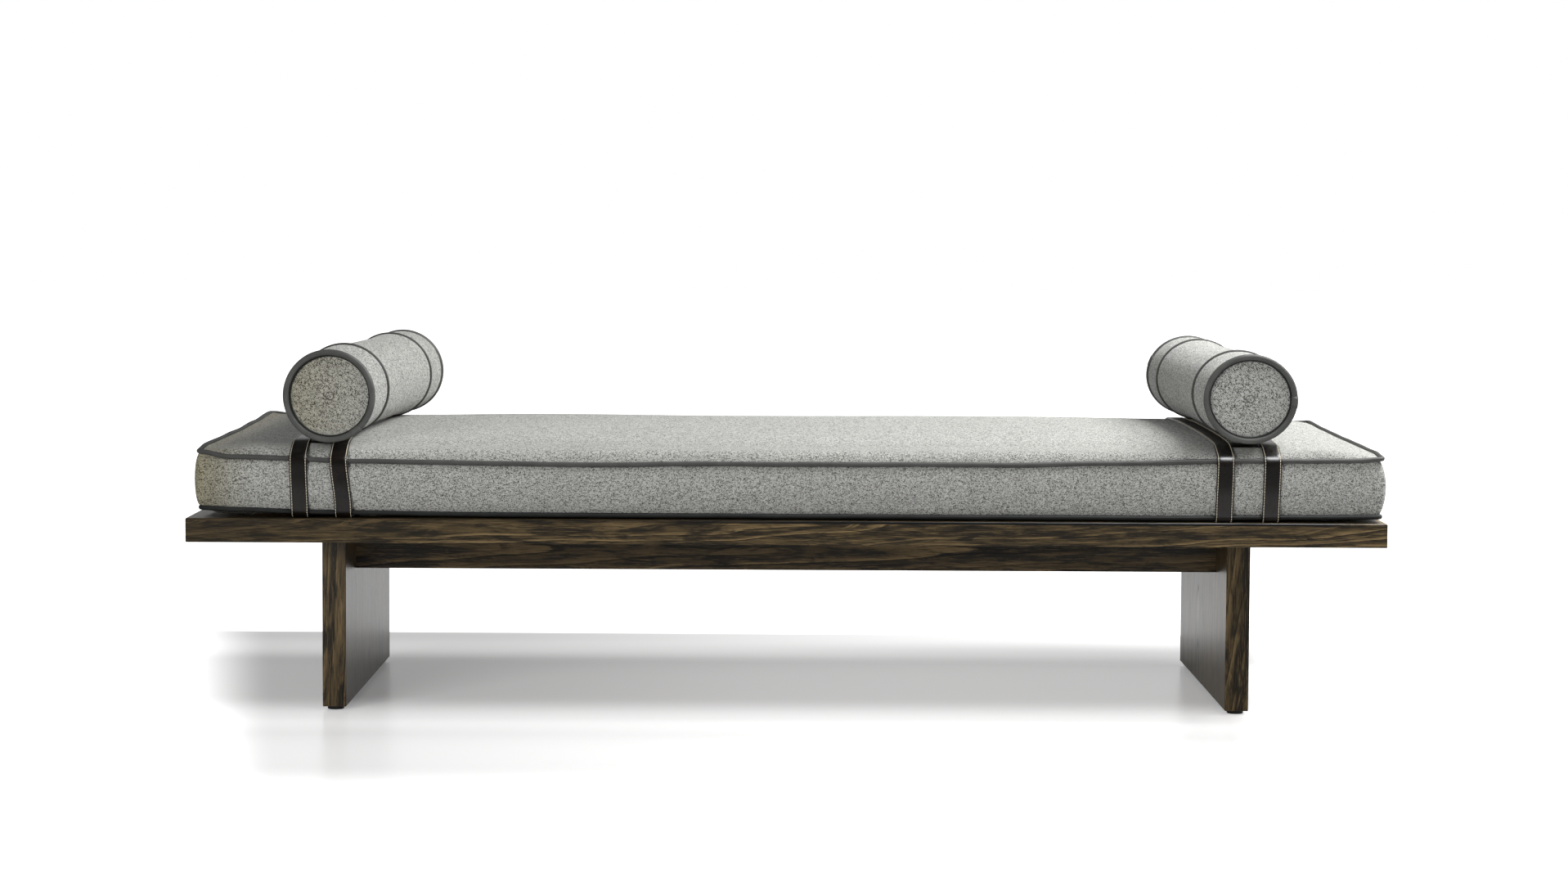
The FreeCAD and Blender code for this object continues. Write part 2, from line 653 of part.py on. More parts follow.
strap_top = crown_top + named("soft_gap") + named("strap_thickness")
ring_y = half_bolster - named("ring_seam_inset")
roll_cover = bolster_shape(0).cut(bolster_shape(named("cover_thickness")))
roll_core = bolster_shape(named("cover_thickness") + named("soft_gap"))
for side, sign in (("left", -1), ("right", 1)):
    axis_x = inward_of_end(side + "_bolster_inset", sign)
    straps = [inward_of_end(f"{side}_{which}_strap_inset", sign) for which in ("inner", "outer")]
    beside = min(max(abs(axis_x - x) - named("strap_width") / 2, 0) for x in straps)
    seat = math.sqrt(named("bolster_radius") ** 2 - beside ** 2)
    centre = Vector(axis_x, 0, strap_top + named("soft_gap") + seat)
    turn = Rotation(Vector(0, 0, 1), sign * named(side + "_bolster_turn"))
    laid = Placement(centre, turn)
    soft_piece(side + "_bolster_cover", roll_cover.copy(), laid)
    soft_piece(side + "_bolster_core", roll_core.copy(), laid)
    end_seam = named("end_seam_radius")
    ring_seam = named("ring_seam_radius")
    for face, direction in (("front", -1), ("rear", 1)):
        end_bead = ring_bead(named("end_piping_radius"), end_seam, direction * half_bolster, direction)
        soft_piece(f"{side}_bolster_{face}_end_piping", end_bead, laid)
        middle_bead = ring_bead(named("ring_piping_radius"), ring_seam, direction * ring_y, 0)
        soft_piece(f"{side}_bolster_{face}_ring_piping", middle_bead, laid)

doc.recompute()
for thing in doc.Objects:
    if "Invalid" in thing.State or "Error" in thing.State:
        raise RuntimeError(f"{thing.Label} failed: {thing.State}")
os.makedirs("parts", exist_ok=True)
for node in nodes:
    shape = node.Shape
    if shape.isNull() or not shape.isValid() or not shape.Solids:
        raise RuntimeError(f"{node.Label} has no valid solid")
    shape.exportStep(f"parts/{node.Label}.step")
print(f"wrote {len(nodes)} parts")
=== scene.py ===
import math

import bpy
from mathutils import Matrix, Vector, noise


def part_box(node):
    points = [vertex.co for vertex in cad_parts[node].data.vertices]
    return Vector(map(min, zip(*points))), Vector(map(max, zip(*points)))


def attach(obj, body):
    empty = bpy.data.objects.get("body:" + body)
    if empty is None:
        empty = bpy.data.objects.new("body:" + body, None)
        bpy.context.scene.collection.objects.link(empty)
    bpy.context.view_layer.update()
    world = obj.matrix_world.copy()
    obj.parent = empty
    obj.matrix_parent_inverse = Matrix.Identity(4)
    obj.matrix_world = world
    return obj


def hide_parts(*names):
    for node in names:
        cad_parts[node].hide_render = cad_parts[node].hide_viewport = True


# A backless divan: dark ash platform, tweed box mattress and two bolsters in leather straps.
# Metres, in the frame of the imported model: +X to the right, -Y to the front, +Z up.

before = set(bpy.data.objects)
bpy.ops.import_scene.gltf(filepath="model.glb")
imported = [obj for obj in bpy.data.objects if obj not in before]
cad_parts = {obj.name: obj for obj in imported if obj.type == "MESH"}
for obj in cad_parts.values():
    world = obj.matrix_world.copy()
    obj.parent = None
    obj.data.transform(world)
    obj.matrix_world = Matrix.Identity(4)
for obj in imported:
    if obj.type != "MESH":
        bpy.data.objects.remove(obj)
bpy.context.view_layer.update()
scene = bpy.context.scene
print("frame loaded:", len(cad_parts), "nodes")


# Small helpers

def smooth(low, high, value):
    share = min(max((value - low) / (high - low), 0.0), 1.0)
    return share * share * (3 - 2 * share)


def along(stops, place):
    # the height at a place on a line of (place, height) stops, eased between them
    if place <= stops[0][0]:
        return stops[0][1]
    for (start, low), (end, high) in zip(stops, stops[1:]):
        if place <= end:
            return low + (high - low) * smooth(start, end, place)
    return stops[-1][1]


def gradedAxis(half, fineSteps, step):
    # places from -half to half, close together near both ends
    edge = half - fineSteps[-1]
    count = max(2, round(2 * edge / step))
    middle = [-edge + 2 * edge * i / count for i in range(count + 1)]
    return [-half + s for s in fineSteps[:-1]] + middle + [half - s for s in reversed(fineSteps[:-1])]


def makePiece(name, points, faces, cornerUvs=None):
    mesh = bpy.data.meshes.new(name)
    mesh.from_pydata([tuple(p) for p in points], [], faces)
    if cornerUvs:
        layer = mesh.uv_layers.new(name="cloth")
        for corner, uv in zip(layer.data, cornerUvs):
            corner.uv = uv
    mesh.polygons.foreach_set("use_smooth", [True] * len(mesh.polygons))
    piece = bpy.data.objects.new(name, mesh)
    scene.collection.objects.link(piece)
    return piece


def subdivide(piece):
    extra = piece.modifiers.new("rounder", "SUBSURF")
    extra.levels = extra.render_levels = 1


def dress(piece, material):
    piece.data.materials.clear()
    piece.data.materials.append(material)


def register(piece, body, slot, *replaced):
    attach(piece, body)
    if replaced:
        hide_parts(*replaced)


def sweep(points, normals, section, closed=True, widen=None):
    # carries a closed section along points; normals point out of the surface they lie on
    count, sides = len(points), len(section)
    placed, faces, uvs = [], [], []
    travelled, girth = [0.0], [0.0]
    for a, b in zip(points, points[1:] + points[:1]):
        travelled.append(travelled[-1] + (b - a).length)
    for a, b in zip(section, section[1:] + section[:1]):
        girth.append(girth[-1] + math.dist(a, b))
    for index, (point, normal) in enumerate(zip(points, normals)):
        before = points[index - 1] if closed or index else point
        after = points[(index + 1) % count] if closed or index < count - 1 else point
        heading = (after - before).normalized()
        out = (normal - heading * normal.dot(heading)).normalized()
        aside = heading.cross(out)
        grow = widen(index) if widen else 1.0
        placed += [point + (aside * a + out * b) * grow for a, b in section]
    spans = count if closed else count - 1
    for i in range(spans):
        for k in range(sides):
            j, m = (i + 1) % count, (k + 1) % sides
            faces.append((i * sides + k, i * sides + m, j * sides + m, j * sides + k))
            left, right = travelled[i], travelled[i + 1]
            uvs += [(left, girth[k]), (left, girth[k + 1]), (right, girth[k + 1]), (right, girth[k])]
    if not closed:
        for ring, backwards in ((0, True), (count - 1, False)):
            cap = [ring * sides + k for k in range(sides)]
            faces.append(tuple(reversed(cap)) if backwards else tuple(cap))
            uvs += [(travelled[ring], girth[k]) for k in range(sides)]
    return placed, faces, uvs


def circle(radius, count):
    angles = [2 * math.pi * k / count for k in range(count)]
    return [(radius * math.cos(angle), radius * math.sin(angle)) for angle in angles]


def toned(colour, share):
    return tuple(part * share for part in colour)


# Shader recipes. A Wire is an output socket, and arithmetic on it adds Math nodes

class Wire:
    def __init__(self, recipe, socket):
        self.recipe = recipe
        self.socket = socket

    def maths(self, operation, *others):
        return self.recipe.add("ShaderNodeMath", {"operation": operation}, dict(enumerate((self, *others))))

    def __add__(self, other):
        return self.maths("ADD", other)

    __radd__ = __add__

    def __sub__(self, other):
        return self.maths("SUBTRACT", other)

    def __rsub__(self, other):
        return self.recipe.add("ShaderNodeMath", {"operation": "SUBTRACT"}, {0: other, 1: self})

    def __mul__(self, other):
        return self.maths("MULTIPLY", other)

    __rmul__ = __mul__

    def __truediv__(self, other):
        return self.maths("DIVIDE", other)

    def floor(self):
        return self.maths("FLOOR")

    def fract(self):
        return self.maths("FRACT")

    def sine(self):
        return self.maths("SINE")

    def absolute(self):
        return self.maths("ABSOLUTE")

    def power(self, other):
        return self.maths("POWER", other)

    def step(self, low, high):
        # 0 below low, 1 above high
        settings = {"interpolation_type": "SMOOTHSTEP"}
        return self.recipe.add("ShaderNodeMapRange", settings, {0: self, 1: low, 2: high})


class Recipe:
    def __init__(self, name, family=bpy.data.materials):
        self.made = family.new(name)
        self.made.use_nodes = True
        self.tree = self.made.node_tree
        self.tree.nodes.clear()

    def add(self, kind, settings=None, sockets=None, out=0):
        node = self.tree.nodes.new(kind)
        for key, value in (settings or {}).items():
            if key == "stops":
                self.setStops(node.color_ramp, value)
            else:
                setattr(node, key, value)
        for key, value in (sockets or {}).items():
            if isinstance(value, Wire):
                self.tree.links.new(value.socket, node.inputs[key])
            else:
                node.inputs[key].default_value = value
        return Wire(self, node.outputs[out]) if node.outputs else None

    def setStops(self, ramp, stops):
        while len(ramp.elements) < len(stops):
            ramp.elements.new(0.5)
        for element, (place, colour) in zip(ramp.elements, stops):
            element.position = place
            element.color = (*colour, 1.0)

    def ramp(self, wire, stops):
        return self.add("ShaderNodeValToRGB", {"stops": stops}, {0: wire})

    def blend(self, factor, first, second, mode="MIX"):
        settings = {"data_type": "RGBA", "blend_type": mode}
        first = first if isinstance(first, Wire) else (*first, 1.0)
        second = second if isinstance(second, Wire) else (*second, 1.0)
        return self.add("ShaderNodeMix", settings, {0: factor, 6: first, 7: second}, out=2)

    def place(self):
        return self.add("ShaderNodeTexCoord", out=3)

    def uv(self):
        return self.add("ShaderNodeUVMap", {"uv_map": "cloth"})

    def split(self, vector):
        first = self.add("ShaderNodeSeparateXYZ", None, {0: vector})
        outputs = first.socket.node.outputs
        return first, Wire(self, outputs[1]), Wire(self, outputs[2])

    def join(self, x, y, z=0.0):
        return self.add("ShaderNodeCombineXYZ", None, {0: x, 1: y, 2: z})

    def noise(self, vector, scale, detail=2.0, rough=0.5, twist=0.0):
        return self.add("ShaderNodeTexNoise", None, {
            "Vector": vector, "Scale": scale, "Detail": detail, "Roughness": rough, "Distortion": twist,
        })

    def random(self, vector):
        return self.add("ShaderNodeTexWhiteNoise", {"noise_dimensions": "3D"}, {"Vector": vector})

    def bump(self, height, distance, strength):
        sockets = {"Height": height, "Distance": distance, "Strength": strength}
        return self.add("ShaderNodeBump", None, sockets)

    def finish(self, sockets):
        surface = self.add("ShaderNodeBsdfPrincipled", None, sockets)
        self.add("ShaderNodeOutputMaterial", None, {"Surface": surface})
        return self.made


# Tweed: a plain weave whose yarns change colour every few millimetres

tweed = {
    "yarn": 0.00115,            # from one yarn to the next
    "fleckAcross": 0.0030,      # length of one colour on a weft yarn
    "fleckAlong": 0.0021,
    "light": (0.548, 0.552, 0.526),
    "middle": (0.356, 0.358, 0.336),
    "dark": (0.083, 0.084, 0.075),
    "depthScale": 0.32,         # flecks lie along the depth of the top and of the rolls
    "waver": 0.0012,            # yarns don't run quite straight
    "blotches": (
        # scale across, along and of the whole, detail, roughness, where it starts and is full, share, yarn
        (150.0, 300.0, 1.0, 3.0, 0.75, 0.50, 0.68, 0.42, "dark"),
        (290.0, 290.0, 1.0, 2.0, 0.60, 0.44, 0.62, 0.24, "dark"),
        (1.0, 1.0, 7.0, 3.0, 0.60, 0.30, 0.70, 0.12, "cloud"),
    ),
    "fluffScale": 700.0,
    "bump": 0.00030,
    "cloud": (0.30, 0.295, 0.28),
    "worn": (0.345, 0.347, 0.326),
    "leftShade": (0.66, 0.60, 0.43), # painted warm shade over the left end
}


def tweedMaterial(name, turn=0.0, seed=0.0, leftShadeSpan=(0.87, 1.0)):
    m = Recipe(name)
    cloth = m.add("ShaderNodeMapping", None, {"Vector": m.uv(), "Rotation": (0, 0, turn)})
    u, v, rest = m.split(cloth)
    wave = m.noise(cloth, 46.0, 1.0) * tweed["waver"]
    weftRow, warpRow = (v + wave) / tweed["yarn"], (u + wave) / tweed["yarn"]
    weftIndex, warpIndex = weftRow.floor(), warpRow.floor()
    # each yarn starts its colours at its own place
    weftShift = m.random(m.join(weftIndex, seed, 1.0))
    warpShift = m.random(m.join(warpIndex, seed, 2.0))
    weftFleck = m.random(m.join((u / tweed["fleckAcross"] + weftShift * 7.0).floor(), weftIndex, seed + 3.0))
    warpFleck = m.random(m.join((v / tweed["fleckAlong"] + warpShift * 7.0).floor(), warpIndex, seed + 4.0))
    over = ((weftIndex + warpIndex) * 0.5).fract().step(0.2, 0.3)
    fleck = weftFleck * over + warpFleck * (1 - over)
    colour = m.ramp(
        fleck,
        ((0.0, tweed["dark"]), (0.2, tweed["dark"]), (0.34, tweed["middle"]), (0.66, tweed["light"])),
    )
    # clouds and specks of darker yarn, and a slow change of tone over the cloth
    for wide, tall, scale, detail, rough, low, high, share, yarn in tweed["blotches"]:
        blotch = m.noise(m.join(u * wide, v * tall, seed), scale, detail, rough)
        colour = m.blend(blotch.step(low, high) * share, colour, tweed[yarn])
    x, y, z = m.split(m.place())
    # painted warm shade: the cloth is darkened and warmed towards the left end
    colour = m.blend((x * -1).step(*leftShadeSpan), colour, tweed["leftShade"], "MULTIPLY")
    # worn a little smoother along the front shoulder of the mattress
    worn = (y * -1).step(0.345, 0.385) * z.step(0.4455, 0.4520) * (1 - z.step(0.475, 0.485))
    colour = m.blend(worn * 0.42, colour, tweed["worn"])
    weft, warp = [(row * math.pi).sine().absolute().power(0.6) for row in (weftRow, warpRow)]
    scale = tweed["fluffScale"]
    fluff = m.noise(m.join(u * scale, v * scale, seed), 1.0, 2.0)
    normal = m.bump(weft * warp + fluff * 0.5 + fleck * 0.25, tweed["bump"], 0.8)
    return m.finish({
        "Base Color": colour, "Roughness": 0.92, "Normal": normal,
        "Sheen Weight": 0.18, "Sheen Roughness": 0.5, "Specular IOR Level": 0.15,
    })


# Smooth grey covering of the piping cord, and a dark copy of it that paints the shade under the mattress

def pipingMaterial(name, colour):
    m = Recipe(name)
    place = m.place()
    u, v, rest = m.split(m.uv())
    tone = m.noise(place, 24.0, 3.0, 0.6)
    base = m.blend(tone.step(0.25, 0.75), toned(colour, 0.82), toned(colour, 1.18))
    grain = m.noise(place, 900.0, 2.0, 0.6)
    pull = m.noise(m.join(u * 300.0, v * 12.0, 0.0), 1.0, 2.0)
    normal = m.bump(grain * 0.4 + pull, 0.0004, 0.5)
    return m.finish({
        "Base Color": base, "Roughness": 0.46 + 0.16 * grain, "Normal": normal, "Specular IOR Level": 0.25,
    })


# Strap leather: almost black, polished, with a fine grain

leather = {
    "deep": (0.0032, 0.0026, 0.0022),
    "warm": (0.0085, 0.0052, 0.0036),
}


def leatherMaterial(name):
    m = Recipe(name)
    place = m.place()
    tone = m.noise(place, 30.0, 3.0, 0.6)
    base = m.blend(tone.step(0.35, 0.75), leather["deep"], leather["warm"])
    sockets = {"Vector": place, "Scale": 1100.0}
    cells = m.add("ShaderNodeTexVoronoi", {"feature": "DISTANCE_TO_EDGE"}, sockets)
    creases = m.noise(place, 260.0, 3.0, 0.6)
    normal = m.bump(cells.step(0.0, 0.25) * 0.5 + creases, 0.00012, 0.6)
    return m.finish({
        "Base Color": base, "Roughness": 0.24 + 0.10 * creases, "Normal": normal,
        "Specular IOR Level": 0.42, "Coat Weight": 0.2, "Coat Roughness": 0.2,
    })


# Dark stained ash. The rings are cones round a pith that lies beside the board,
# so a face that they cross at a low angle shows arches and the others show lines

ash = {
    "pore": (0.0060, 0.0048, 0.0028),
    "dark": (0.0165, 0.0122, 0.0066),
    "brown": (0.078, 0.053, 0.0235),
    "tan": (0.270, 0.185, 0.084),
    # noises: scale along the grain, across and in depth, then detail, roughness and twist
    "slow": (1.6, 9.0, 9.0, 2.0, 0.5),
    "fine": (9.0, 90.0, 90.0, 3.0, 0.6),
    "blotch": (11.0, 62.0, 62.0, 4.0, 0.65, 0.5),
    "streak": (4.0, 300.0, 40.0, 4.0, 0.72),
    "fibre": (22.0, 1.0, 640.0, 3.0, 0.7),
}


def ashMaterial(name, grain, pith, taper, ring, seed, ripple=0.006, tone=0.5, gloss=0.32, shade=None):
    m = Recipe(name)
    x, y, z = m.split(m.place())
    length, side, depth = {"x": (x, z, y), "y": (y, z, x), "z": (z, x, y)}[grain]

    def grained(kind, across=side):
        lengthwise, crosswise, deep, *look = ash[kind]
        spot = m.join(length * lengthwise, across * crosswise, depth * deep + seed)
        return m.noise(spot, 1.0, *look)

    slow, fine = grained("slow"), grained("fine")
    a, b = side - pith[0], depth - pith[1]
    distance = (a * a + b * b).power(0.5) + length * taper + slow * ripple * 8.0 + fine * ripple * 0.45
    rings = distance / ring
    share = rings.fract()
    year = m.random(m.join(rings.floor(), seed, 0.0))
    # a ring lightens slowly to tan and stops at a thin dark line
    late = share.step(0.45, 0.84) * (1 - share.step(0.86, 0.90))
    line = share.step(0.86, 0.90) * (1 - share.step(0.97, 1.0))
    # stain taken up in blotches, long dark streaks and fine fibres
    blotch, streak = grained("blotch"), grained("streak", distance)
    fibre = grained("fibre", side * 700.0 + distance * 200.0)
    base = m.blend(blotch.step(0.43, 0.57), ash["dark"], ash["brown"])
    base = m.blend(late * (0.12 + 0.88 * year) * blotch.step(0.34, 0.52) * 0.85, base, ash["tan"])
    base = m.blend(streak.step(0.55, 0.66) * tone, base, ash["tan"])
    base = m.blend((1 - streak.step(0.36, 0.46)) * 0.8, base, ash["dark"])
    base = m.blend(line * (0.3 + 0.7 * year) * 0.85, base, ash["pore"])
    base = m.blend(fibre.step(0.52, 0.62) * 0.62, base, ash["pore"])
    base = m.blend((1 - fibre.step(0.34, 0.45)) * 0.35, base, ash["tan"])
    if shade:
        base = shade(m, x, y, z, base)
    normal = m.bump(fibre * 0.35 - line, 0.0002, 0.45)
    rough = 0.26 + 0.16 * streak + 0.08 * line
    return m.finish({"Base Color": base, "Roughness": rough, "Normal": normal, "Specular IOR Level": gloss})


def railShade(m, x, y, z, base):
    # painted shade darker towards the left end, and a painted shadow along the edge under the mattress
    base = m.blend((x * -1).step(0.50, 1.0) * 0.6, base, ash["dark"])
    # painted shadow: the top edge of the front face is made nearly black under the mattress
    edge = z.step(0.3302, 0.3312) * x.step(-0.8, 0.1) * (1 - x.step(0.88, 0.97))
    return m.blend(edge * (y * -1).step(0.4225, 0.4235), base, (0.001, 0.001, 0.001))


def plainWoodMaterial(name, grain, colour):
    m = Recipe(name)
    x, y, z = m.split(m.place())
    length, side, depth = {"x": (x, y, z), "y": (y, x, z), "z": (z, x, y)}[grain]
    bands = m.noise(m.join(length * 3.0, side * 90.0, depth * 90.0), 1.0, 3.0, 0.6)
    fibres = m.noise(m.join(length * 30.0, side * 900.0, depth * 900.0), 1.0, 2.0)
    base = m.blend(bands.step(0.3, 0.7), toned(colour, 0.8), colour)
    base = m.blend(fibres.step(0.5, 0.8) * 0.3, base, toned(colour, 0.5))
    return m.finish({"Base Color": base, "Roughness": 0.6, "Normal": m.bump(fibres, 0.0002, 0.4)})


def steelMaterial():
    m = Recipe("zinc plated steel")
    wear = m.noise(m.place(), 700.0, 2.0)
    base = m.blend(wear, (0.50, 0.50, 0.47), (0.66, 0.65, 0.60))
    return m.finish({"Base Color": base, "Metallic": 1.0, "Roughness": 0.3 + 0.2 * wear})


def glideMaterial():
    m = Recipe("black glide")
    grit = m.noise(m.place(), 1400.0, 2.0)
    base = m.blend(grit, (0.010, 0.010, 0.010), (0.022, 0.021, 0.020))
    return m.finish({"Base Color": base, "Roughness": 0.55, "Normal": m.bump(grit, 0.0001, 0.4)})


def threadMaterial():
    m = Recipe("cream thread")
    x, y, z = m.split(m.place())
    ply = ((x + y + z) * 5200.0).sine()
    base = m.blend(m.noise(m.place(), 160.0, 1.0), (0.60, 0.53, 0.40), (0.78, 0.71, 0.57))
    return m.finish({"Base Color": base, "Roughness": 0.7, "Normal": m.bump(ply, 0.0001, 0.5)})


materials = {
    "tweed": tweedMaterial("tweed"),
    # the left bolster's disc takes a stronger painted shade
    "tweedDisc": tweedMaterial("tweed on the bias", turn=math.radians(38), seed=5.0, leftShadeSpan=(0.60, 0.95)),
    "piping": pipingMaterial("grey piping", (0.068, 0.069, 0.065)),
    "rollPiping": pipingMaterial("bolster piping", (0.082, 0.084, 0.078)),
    "shadedPiping": pipingMaterial("piping in painted shade", (0.019, 0.021, 0.020)),
    "leather": leatherMaterial("strap leather"),
    "thread": threadMaterial(),
    "glide": glideMaterial(),
    "steel": steelMaterial(),
    "beechX": plainWoodMaterial("beech along x", "x", (0.50, 0.35, 0.20)),
    "slat": plainWoodMaterial("slat wood", "y", (0.42, 0.32, 0.20)),
}


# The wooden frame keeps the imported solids; each board gets its own cut of ash

boards = {
    # grain, pith (beside the board), taper and width of the rings, seed, and what sets it apart
    "front_rail": ("x", (0.345, -0.370), 0.030, 0.0062, 1.3, {"shade": railShade}),
    "rear_rail": ("x", (0.345, 0.370), 0.030, 0.0085, 4.1, {}),
    "left_end_rail": ("y", (0.290, -0.975), 0.018, 0.008, 7.7, {}),
    "right_end_rail": ("y", (0.290, 0.975), 0.018, 0.008, 9.2, {}),
    "left_cross_rail": ("y", (0.26, -0.766), 0.015, 0.008, 12.0, {}),
    "middle_cross_rail": ("y", (0.26, 0.0), 0.015, 0.008, 13.0, {}),
    "right_cross_rail": ("y", (0.26, 0.766), 0.015, 0.008, 14.0, {}),
    "left_leg": ("z", (-0.70, -0.05), 0.010, 0.0042, 15.0, {"ripple": 0.0012, "gloss": 0.5}),
    "right_leg": ("z", (0.85, 0.06), 0.050, 0.0052, 16.5, {"ripple": 0.002, "gloss": 0.24}),
    "front_stretcher": ("x", (0.262, -0.160), 0.028, 0.013, 17.0, {"tone": 0.3}),
    "rear_stretcher": ("x", (0.262, 0.160), 0.028, 0.013, 18.0, {"tone": 0.3}),
}
for node, (*cut, own) in boards.items():
    dress(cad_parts[node], ashMaterial("ash " + node, *cut, **own))
for node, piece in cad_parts.items():
    if node.startswith("slat_") and node != "slat_screws":
        dress(piece, materials["slat"])
    elif node.endswith("_glide"):
        dress(piece, materials["glide"])
    elif node.endswith("_screws"):
        dress(piece, materials["steel"])
    elif node in ("frame_dowels", "corner_splines"):
        dress(piece, materials["beechX"])
print("wood and fittings dressed")


# Cloth simulation: the cover swells between its pinned seams, as a stuffed cover does

stuffing = {
    "quality": 5,
    "mass": 0.4,
    "tension_stiffness": 25,
    "compression_stiffness": 25,
    "shear_stiffness": 10,
    "bending_stiffness": 2.0,
    "use_pressure": True,
    "uniform_pressure_force": 4.0,
}
stuffingFrames = 20
settled = 0.85  # share of its cap that the swelling reaches in the middle of a panel


def simulated(piece, pinned, shrink):
    seams = piece.vertex_groups.new(name="seams")
    seams.add(pinned, 1.0, "REPLACE")
    cloth = piece.modifiers.new("stuffing", "CLOTH")
    for setting, value in stuffing.items():
        setattr(cloth.settings, setting, value)
    cloth.settings.shrink_min = -shrink
    cloth.settings.vertex_group_mass = "seams"
    cloth.settings.effector_weights.gravity = 0
    cloth.point_cache.frame_start = 1
    cloth.point_cache.frame_end = stuffingFrames
    for number in range(1, stuffingFrames + 1):
        scene.frame_set(number)
    stuffed = piece.evaluated_get(bpy.context.evaluated_depsgraph_get())
    moved = [vertex.co.copy() for vertex in stuffed.data.vertices]
    piece.modifiers.remove(cloth)
    piece.vertex_groups.remove(seams)
    scene.frame_set(1)
    return moved


def puff(piece, pinned, settings):
    # swell limits how far the cloth moves, and calm is the number of passes that even it out
    cap = settings["swell"]
    rest = [vertex.co.copy() for vertex in piece.data.vertices]
    beside = [[] for start in rest]
    for edge in piece.data.edges:
        a, b = edge.vertices
        beside[a].append(b)
        beside[b].append(a)
    fixed = set(pinned)
    moved = simulated(piece, pinned, settings["shrink"])
    steps = []
    for start, end in zip(rest, moved):
        step = end - start
        reach = step.length
        steps.append(step * (cap * math.tanh(reach / cap) / reach) if reach > 1e-7 else step)
    for again in range(settings["calm"]):
        drifts = [sum((steps[n] for n in near), Vector()) * (0.6 / len(near)) for near in beside]
        steps = [
            step if i in fixed else step * 0.4 + drift
            for i, (step, drift) in enumerate(zip(steps, drifts))
        ]
    for vertex, start, step in zip(piece.data.vertices, rest, steps):
        vertex.co = start + step
    piece.data.update()


# The mattress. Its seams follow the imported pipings, lifted at the corners as the cover pulls them

coverLow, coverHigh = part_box("mattress_cover")
topBeadLow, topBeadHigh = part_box("mattress_top_piping")
lowBeadLow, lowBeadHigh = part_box("mattress_bottom_piping")
mattress = {
    "shift": 0.0065,            # lies this much to the right of the platform's middle
    "endReach": 0.0055,         # and is pulled out this much longer than packed
    "beadRadius": (topBeadHigh.z - topBeadLow.z) / 2,
    "beadStand": 0.0008,
    "beadSpread": 0.0006,
    "corner": 0.0082,
    "shoulder": 0.038,
    "shoulderShare": 0.80,      # of the rise from seam to crown
    "endRise": 0.10,
    "crown": coverHigh.z + 0.0015,
    "fullness": 0.0035,         # more between the bolsters
    "rearFullness": 0.0030,
    "unevenness": 0.0012,
    "bulge": 0.0115,
    "endBulge": 0.0040,
    "crease": 0.0042,
    "swell": 0.005,             # cap of the simulated swelling
    "shrink": 0.004,
    "calm": 2,
    "step": 0.0135,
    "fine": (0.0, 0.0020, 0.0048, 0.0082, 0.0120, 0.0180, 0.0260, 0.0350),
    "bandRows": (0.0, 0.028, 0.075, 0.15, 0.26, 0.39, 0.53, 0.67, 0.79, 0.88, 0.945, 0.98, 1.0),
    "frontSeam": (
        (-0.985, 0.4450), (-0.935, 0.4365), (-0.830, 0.4340), (-0.730, 0.4305), (-0.360, 0.4260),
        (-0.100, 0.4288), (0.330, 0.4292), (0.570, 0.4335), (0.710, 0.4370), (0.830, 0.4385),
        (0.940, 0.4385), (0.990, 0.4420),
    ),
    "rearSeam": (
        (-0.985, 0.4610), (-0.900, 0.4500), (-0.800, 0.4400), (-0.400, 0.4340), (0.400, 0.4340),
        (0.800, 0.4390), (0.900, 0.4450), (0.990, 0.4530),
    ),
    "leftSeam": ((-0.405, 0.4450), (-0.330, 0.4500), (0.000, 0.4515), (0.200, 0.4550), (0.405, 0.4610)),
    "rightSeam": ((-0.405, 0.4420), (-0.330, 0.4465), (0.000, 0.4480), (0.200, 0.4500), (0.405, 0.4530)),
    "lowLift": ((-0.985, 0.0095), (-0.930, 0.0070), (-0.800, 0.0030), (-0.500, 0.0), (0.600, 0.0),
                (0.850, 0.0020), (0.985, 0.0035)),
}
halfLength = topBeadHigh.x - 2 * mattress["beadRadius"] - mattress["beadStand"] + mattress["endReach"]
halfWidth = topBeadHigh.y - 2 * mattress["beadRadius"] - mattress["beadStand"]
beadRadius = mattress["beadRadius"] + mattress["beadSpread"]
lowSeam = (lowBeadLow.z + lowBeadHigh.z) / 2
underside = coverLow.z


def highSeamAt(x, y):
    # near a corner the rim belongs partly to the short end and partly to the long side
    end = along(mattress["leftSeam"] if x < 0 else mattress["rightSeam"], y)
    side = along(mattress["frontSeam"] if y < 0 else mattress["rearSeam"], x)
    toEnd, toSide = halfLength - abs(x), halfWidth - abs(y)
    return side + (end - side) * (toSide / max(toEnd + toSide, 1e-6))


def pastCorner(x, y):
    # how far a place lies past the middle of its corner's round
    r = mattress["corner"]
    return abs(x) - (halfLength - r), abs(y) - (halfWidth - r)


def cornered(x, y):
    # the grid's corner blocks become quarter rounds
    dx, dy = pastCorner(x, y)
    if dx <= 0 or dy <= 0:
        return x, y
    scale = max(dx, dy) / math.hypot(dx, dy)
    return math.copysign(abs(x) - dx + dx * scale, x), math.copysign(abs(y) - dy + dy * scale, y)


def insetOf(x, y):
    # distance in from the rim
    dx, dy = pastCorner(x, y)
    outside = math.hypot(max(dx, 0), max(dy, 0)) + min(max(dx, dy), 0)
    return max(mattress["corner"] - outside, 0.0)


def outwardAt(x, y):
    dx, dy = pastCorner(x, y)
    if dx <= 0 or dy <= 0:
        dx, dy = (1, 0) if dx > dy else (0, 1)
    way = Vector((dx, dy, 0)).normalized()
    return Vector((math.copysign(way.x, x), math.copysign(way.y, y), 0))


